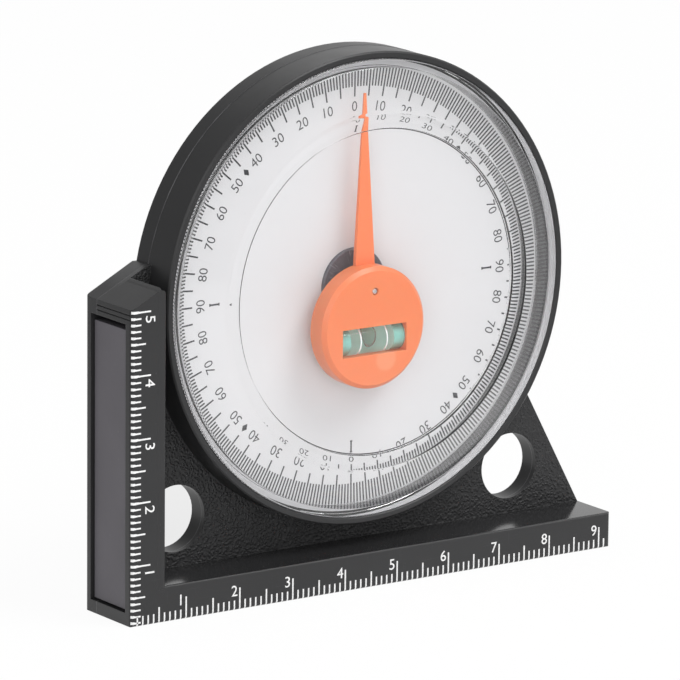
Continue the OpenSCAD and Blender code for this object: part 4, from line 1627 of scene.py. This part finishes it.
@dataclass
class Vial:
    """Small vial in the pointer's window: tube, plugs, rings, liquid and bubble.

    The tube is one clear rod round its fill, which is how a filled tube bends the light.
    """

    effects: Effects
    geometry: Geometry
    wall: float = 0.7 * MM
    plug_length: float = 1.9 * MM
    plug_gap: float = 0.02 * MM
    end_round: float = 0.15 * MM
    end_steps: int = 4
    steps: int = 96
    clear: ClearPlastic = ClearPlastic("vial_clear_plastic", (0.995, 1.0, 0.998))
    liquid: TintedFill = TintedFill("vial_tinted_liquid", (0.95, 1.0, 0.985), (0.66, 1.0, 0.9), 1.0)
    plug: MouldedPlastic = MouldedPlastic("vial_plug_teal", (0.25, 0.6, 0.52), (0.5, 0.75, 0.68), roughness=0.3,
                                          wear=0.1)
    ring: PrintInk = PrintInk("vial_ring_white", (0.9, 0.93, 0.92), (0.75, 0.8, 0.79), 0.35, 0.3)
    air: BubbleAir = BubbleAir("vial_bubble_air")

    def build(self) -> None:
        """Builds the tube and its fill and dresses the rest."""
        low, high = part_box("vial_tube")
        centre = Vector(((low.x + high.x) / 2, (low.y + high.y) / 2, (low.z + high.z) / 2))
        radius = (high.z - low.z) / 2
        half = (high.x - low.x) / 2
        bore = radius - self.wall
        easing = self.end_round
        tube_profile = [(0.0, -half), (radius - easing, -half)]
        tube_profile += corner((radius - easing, -half + easing), easing, -90, 0, self.end_steps)
        tube_profile += corner((radius - easing, half - easing), easing, 0, 90, self.end_steps) + [(0.0, half)]
        tube = lathe("vial_glass", tube_profile, centre, "X", self.steps, self.clear.build(self.effects))
        fill_half = half - self.plug_length - self.plug_gap
        fill_profile = [(0.0, -fill_half), (bore, -fill_half), (bore, fill_half), (0.0, fill_half)]
        fill = lathe("vial_fill", fill_profile, centre, "X", self.steps, self.liquid.build())
        for piece, node, slot in ((tube, "vial_tube", "vial_clear"), (fill, "vial_liquid", "vial_liquid")):
            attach(piece, "pointer")
            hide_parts(node)
            report(piece, "pointer")
        self.geometry.soften(paint("vial_plugs", self.plug.build(self.effects)))
        self.geometry.soften(paint("vial_rings", self.ring.build(self.effects)))
        self.geometry.soften(paint("vial_bubble", self.air.build()))


@dataclass
class Shells:
    """Front shell, rear cover, screws, magnets and tapes."""

    effects: Effects
    geometry: Geometry
    web_front: float = 2.45 * MM
    leather_depth: float = 0.13 * MM
    leather_scale: float = 2500.0
    black: Colour = (0.024, 0.024, 0.025)
    rubbed: Colour = (0.12, 0.12, 0.125)
    polish_height: float = 6.5 * MM
    joint: float = 3.35 * MM
    upright_width: float = 5.55 * MM
    upright_height: float = 50.0 * MM
    top_slope: float = 27.5
    seam_inset: float = 0.8 * MM
    strip_width: float = 0.74 * MM
    strip_round: float = 0.4 * MM
    strip_fall: float = 1.0 * MM
    strip_foot: float = 5.3 * MM
    strip_sink: float = 0.1 * MM
    strip_steps: int = 6
    strip_sharp: float = 30.0
    screw: MetalPiece = MetalPiece("screw_dark_zinc", (0.3, 0.3, 0.32), Metal.PLATED, 0.35)
    side_rubber: MagnetRubber = MagnetRubber("side_magnet_rubber")
    base_rubber: MagnetRubber = MagnetRubber("base_magnet_rubber", streak=(0.04, 1.0, 1.0))
    tape: TapeFilm = TapeFilm("magnet_tape")

    def dress(self) -> None:
        """Gives each piece its finish."""
        # The housing's paler edges are partly wear and partly a painted highlight along its edges.
        front = MouldedPlastic("housing_black", self.black, self.rubbed, specular=0.4, wear=0.4,
                               leather_depth=self.leather_depth, leather_scale=self.leather_scale,
                               leather_plane=self.web_front, polish_height=self.polish_height,
                               joint_plane=self.joint)
        rear = MouldedPlastic("cover_black", self.black, self.rubbed, roughness=0.42, specular=0.4,
                              joint_plane=self.joint)
        dress = {
            "front_housing": front.build(self.effects),
            "rear_cover": rear.build(self.effects),
            "cover_screws": self.screw.build(self.effects),
            "side_magnet": self.side_rubber.build(self.effects),
            "base_magnet": self.base_rubber.build(self.effects),
        }
        film = self.tape.build(self.effects)
        for node in ("side_magnet_tape", "base_magnet_tape", "card_tape"):
            dress[node] = film
        for node, material in dress.items():
            self.geometry.soften(paint(node, material))
        self._edge_strip(dress["front_housing"])

    def _edge_strip(self, finish: bpy.types.Material) -> None:
        """Widens the upright's face towards the dial by a moulded strip with a rounded edge.

        Args:
            finish: The housing's finish.
        """
        low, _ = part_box("front_housing")
        corner_x = self.upright_width
        edge = corner_x + self.strip_width
        turns = [math.radians(90 * step / self.strip_steps) for step in range(self.strip_steps + 1)]
        stations = [(corner_x - self.seam_inset, 0.0), (corner_x - self.strip_round, 0.0)]
        stations += [(edge - self.strip_round * (1 - math.sin(turn)), self.strip_round * (1 - math.cos(turn)))
                     for turn in turns]
        form = bmesh.new()
        loops = []
        for across, inset in stations:
            share = max(0.0, (across - corner_x + self.strip_round) / (edge - corner_x + self.strip_round))
            fall = self.strip_fall * share ** 2
            top = low.z + self.upright_height + min(across, corner_x) * math.tan(math.radians(self.top_slope)) - fall
            front, back = low.y + inset, self.web_front + self.strip_sink
            x, foot = low.x + across, low.z + self.strip_foot
            spots = ((x, front, foot), (x, front, top), (x, back, top), (x, back, foot))
            loops.append([form.verts.new(spot) for spot in spots])
        for first, second in zip(loops, loops[1:]):
            for step in range(4):
                after = (step + 1) % 4
                form.faces.new((first[step], first[after], second[after], second[step]))
        form.faces.new(loops[0])
        form.faces.new(loops[-1])
        bmesh.ops.recalc_face_normals(form, faces=form.faces)
        mesh = bpy.data.meshes.new("upright_edge_strip")
        form.to_mesh(mesh)
        form.free()
        mesh.polygons.foreach_set("use_smooth", [True] * len(mesh.polygons))
        mesh.set_sharp_from_angle(angle=math.radians(self.strip_sharp))
        strip = link("upright_edge_strip", mesh, finish)
        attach(strip, "housing")
        report(strip, "housing")


@dataclass
class Pointer:
    """Needle, disc, weight and the pivot that they turn on."""

    effects: Effects
    geometry: Geometry
    orange: Colour = (0.95, 0.228, 0.076)
    orange_rubbed: Colour = (1.0, 0.42, 0.24)
    # Offset of the painted reflection from the cap's middle and from its lowest point.
    blush_right: float = 2.2 * MM
    blush_height: float = 4.6 * MM
    steel: MetalPiece = MetalPiece("pin_bright", (0.72, 0.72, 0.74), Metal.BRIGHT, 0.25)
    brass: MetalPiece = MetalPiece("brass_turned", (0.72, 0.53, 0.24), Metal.TURNED, 0.32)
    weight: MetalPiece = MetalPiece("weight_zinc", (0.4, 0.4, 0.41), Metal.STAMPED, 0.45)

    def dress(self) -> None:
        """Gives each piece its finish."""
        low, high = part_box("pointer_cap")
        # Spot of the painted reflection on the cap.
        reflection_spot = ((low.x + high.x) / 2 + self.blush_right, low.y, low.z + self.blush_height)
        hub_low, hub_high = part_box("pivot_hub")
        hub_middle = tuple((hub_low + hub_high) / 2)
        # The orange edges are paler partly from wear and partly from a painted highlight.
        cap = MouldedPlastic("pointer_orange", self.orange, self.orange_rubbed, roughness=0.33, tone_spread=0.05,
                             gloss_spread=0.08, wear=0.3, scuff=0.04, blush_place=reflection_spot, glow_depth=2.0 * MM)
        blade = MouldedPlastic("needle_orange", self.orange, self.orange_rubbed, roughness=0.33, tone_spread=0.05,
                               gloss_spread=0.08, wear=0.1, scuff=0.04, glow_depth=1.0 * MM)
        bright = self.steel.build(self.effects)
        brass = self.brass.build(self.effects)
        dress = {
            "pointer_cap": cap.build(self.effects),
            "pointer_blade": blade.build(self.effects),
            "pivot_hub": HubPlastic("hub_dark", hub_middle).build(self.effects),
            "pivot_pin": bright,
            "retaining_ring": bright,
            "spacer_collar": brass,
            "pivot_bush": brass,
            "counterweight": self.weight.build(self.effects),
        }
        for node, material in dress.items():
            self.geometry.soften(paint(node, material))


@dataclass(frozen=True)
class SoftLamp:
    """Soft square lamp that faces the object."""

    name: str
    place: tuple[float, float, float]
    side: float
    power: float
    aim: tuple[float, float, float] = (0.0, 0.0, 0.04)

    def hang(self) -> None:
        """Adds the lamp to the scene."""
        data = bpy.data.lights.new(self.name, "AREA")
        data.shape = "SQUARE"
        data.size = self.side
        data.energy = self.power
        lamp = bpy.data.objects.new(self.name, data)
        lamp.location = self.place
        lamp.rotation_euler = (Vector(self.aim) - Vector(self.place)).to_track_quat("-Z", "Y").to_euler()
        bpy.context.scene.collection.objects.link(lamp)


@dataclass
class Studio:
    """White floor and soft light, with darker sides that only mirrors show."""

    floor_half: float = 6.0
    floor_grey: Colour = (0.93, 0.93, 0.93)
    floor_glow: float = 0.94
    world_level: float = 0.62
    dark_side: float = 0.3
    dim_side: float = 0.6
    world_left: tuple[float, float] = (-0.1, 0.45)
    world_right: tuple[float, float] = (0.7, 0.95)
    world_low: tuple[float, float] = (0.25, 0.5)
    floor_left: tuple[float, float] = (-0.22, -0.04)
    floor_right: tuple[float, float] = (0.05, 0.13)
    shade_turn: float = -34.819
    shade_across: float = -28.7 * MM
    shade_along: float = 45.0 * MM
    shade_width: tuple[float, float] = (0.003, 0.0115)
    shade_length: tuple[float, float] = (0.02, 0.045)
    shade_depth: float = 0.16
    lamps: tuple[SoftLamp, ...] = (SoftLamp("key_lamp", (0.42, -0.6, 1.15), 0.7, 9.0),
                                   SoftLamp("fill_lamp", (-0.7, -0.9, 0.5), 0.9, 4.2))

    def build(self) -> None:
        """Builds the world, the floor and the lamps."""
        self._world()
        self._floor()
        for lamp in self.lamps:
            lamp.hang()

    @staticmethod
    def _seen(pen: Pen) -> bpy.types.NodeSocket:
        """Mask of the rays that show the background: seen, mirrored or through glass.

        Args:
            pen: Pen of the tree.

        Returns:
            One for these rays and nought for the rest.
        """
        path = pen.add("ShaderNodeLightPath")
        seen = pen.math("MAXIMUM", path.outputs["Is Camera Ray"], path.outputs["Is Glossy Ray"])
        return pen.math("MAXIMUM", seen, path.outputs["Is Transmission Ray"])

    @staticmethod
    def _mirrored(pen: Pen) -> bpy.types.NodeSocket:
        """One for rays that any surface has mirrored."""
        depth = pen.add("ShaderNodeLightPath").outputs["Glossy Depth"]
        return pen.math("GREATER_THAN", depth, 0.5)

    def _world(self) -> None:
        """White surround, plain for the light that it gives."""
        world = bpy.data.worlds.new("white_room")
        world.use_nodes = True
        world.node_tree.nodes.clear()
        pen = Pen(world.node_tree)
        side = pen.split(pen.add("ShaderNodeTexCoord").outputs["Generated"])
        left = pen.remap(side["X"], *self.world_left, self.dark_side, 1.0)
        right = pen.remap(side["X"], *self.world_right, 1.0, self.dim_side)
        low = pen.remap(side["Z"], *self.world_low, 1.0, 0.0)
        dim = pen.math("MULTIPLY", left, pen.between(low, 1.0, right))
        mirrored = pen.between(self._mirrored(pen), 1.0, dim)
        level = pen.between(self._seen(pen), self.world_level, mirrored)
        back = pen.add("ShaderNodeBackground", {"Color": (1.0, 1.0, 1.0, 1.0), "Strength": level})
        pen.add("ShaderNodeOutputWorld", {"Surface": back.outputs[0]})
        bpy.context.scene.world = world

    def _floor(self) -> None:
        """Pale floor that keeps a soft shadow, with a painted shade behind the upright."""
        half = self.floor_half
        mesh = bpy.data.meshes.new("floor")
        mesh.from_pydata([(-half, -half, 0.0), (half, -half, 0.0), (half, half, 0.0), (-half, half, 0.0)], [],
                         [(0, 1, 2, 3)])
        material = bpy.data.materials.new("floor_white")
        material.use_nodes = True
        material.node_tree.nodes.clear()
        pen = Pen(material.node_tree)
        side = pen.split(pen.place())["X"]
        left = pen.remap(side, *self.floor_left, self.dark_side, 1.0)
        right = pen.remap(side, *self.floor_right, 1.0, self.dim_side)
        # Mirrored rays see the darker sides, and the rest see the painted shade behind the upright.
        level = pen.between(self._mirrored(pen), self._shade(pen), pen.math("MULTIPLY", left, right))
        plain = pen.add("ShaderNodeBsdfDiffuse", {"Color": rgba(self.floor_grey)})
        white = pen.add("ShaderNodeEmission", {"Color": (1.0, 1.0, 1.0, 1.0), "Strength": level})
        share = pen.math("MULTIPLY", self._seen(pen), self.floor_glow)
        mix = pen.add("ShaderNodeMixShader", {0: share, 1: plain.outputs[0], 2: white.outputs[0]})
        pen.add("ShaderNodeOutputMaterial", {"Surface": mix.outputs[0]})
        floor = link("floor", mesh, material)

    def _shade(self, pen: Pen) -> bpy.types.NodeSocket:
        """Painted soft shade on the floor behind the upright, as seen through the hole beside it.

        Args:
            pen: Pen of the floor's tree.

        Returns:
            The level of the white there, and one elsewhere.
        """
        turned = pen.split(pen.place(turn=(0.0, 0.0, -math.radians(self.shade_turn))))
        across = pen.math("ABSOLUTE", pen.math("SUBTRACT", turned["X"], self.shade_across))
        along = pen.math("ABSOLUTE", pen.math("SUBTRACT", turned["Y"], self.shade_along))
        near = pen.remap(across, *self.shade_width, 1.0, 0.0)
        span = pen.remap(along, *self.shade_length, 1.0, 0.0)
        return pen.math("MULTIPLY_ADD", pen.math("MULTIPLY", near, span), -self.shade_depth, 1.0)


@dataclass
class PhotoCamera:
    """Camera at the photograph's place."""

    focal_px: float = 6180.22
    azimuth: float = -34.819
    elevation: float = 12.680
    roll: float = 0.577
    target: tuple[float, float, float] = (-7.619 * MM, -6.65 * MM, 40.861 * MM)
    distance: float = 964.96 * MM
    sensor_mm: float = 36.0
    nearest: float = 0.05
    farthest: float = 50.0

    def build(self) -> None:
        """Makes the camera and hands it to the scene."""
        turn, rise, roll = (math.radians(angle) for angle in (self.azimuth, self.elevation, self.roll))
        back = Vector((math.sin(turn) * math.cos(rise), -math.cos(turn) * math.cos(rise), math.sin(rise)))
        level = Vector((math.cos(turn), math.sin(turn), 0.0))
        upward = back.cross(level)
        right = level * math.cos(roll) + upward * math.sin(roll)
        top = upward * math.cos(roll) - level * math.sin(roll)
        data = bpy.data.cameras.new("photo_camera")
        data.sensor_width = self.sensor_mm
        data.lens = self.focal_px / PICTURE * data.sensor_width
        data.clip_start = self.nearest
        data.clip_end = self.farthest
        camera = bpy.data.objects.new("photo_camera", data)
        axes = Matrix((right, top, back)).transposed().to_4x4()
        camera.matrix_world = Matrix.Translation(Vector(self.target) + back * self.distance) @ axes
        bpy.context.scene.collection.objects.link(camera)
        bpy.context.scene.camera = camera


def main() -> None:
    """Builds every sub-assembly in order."""
    logging.basicConfig(level=logging.INFO, format="%(message)s")
    bpy.context.scene.view_settings.view_transform = "Standard"
    PhotoCamera().build()
    Studio().build()
    effects = Effects()
    geometry = Geometry()
    Shells(effects, geometry).dress()
    DialFace(effects, geometry).build()
    EdgeRulers(effects, geometry).build()
    Pointer(effects, geometry).dress()
    Vial(effects, geometry).build()
    LensCup(effects).build()


if __name__ == "__main__":
    main()
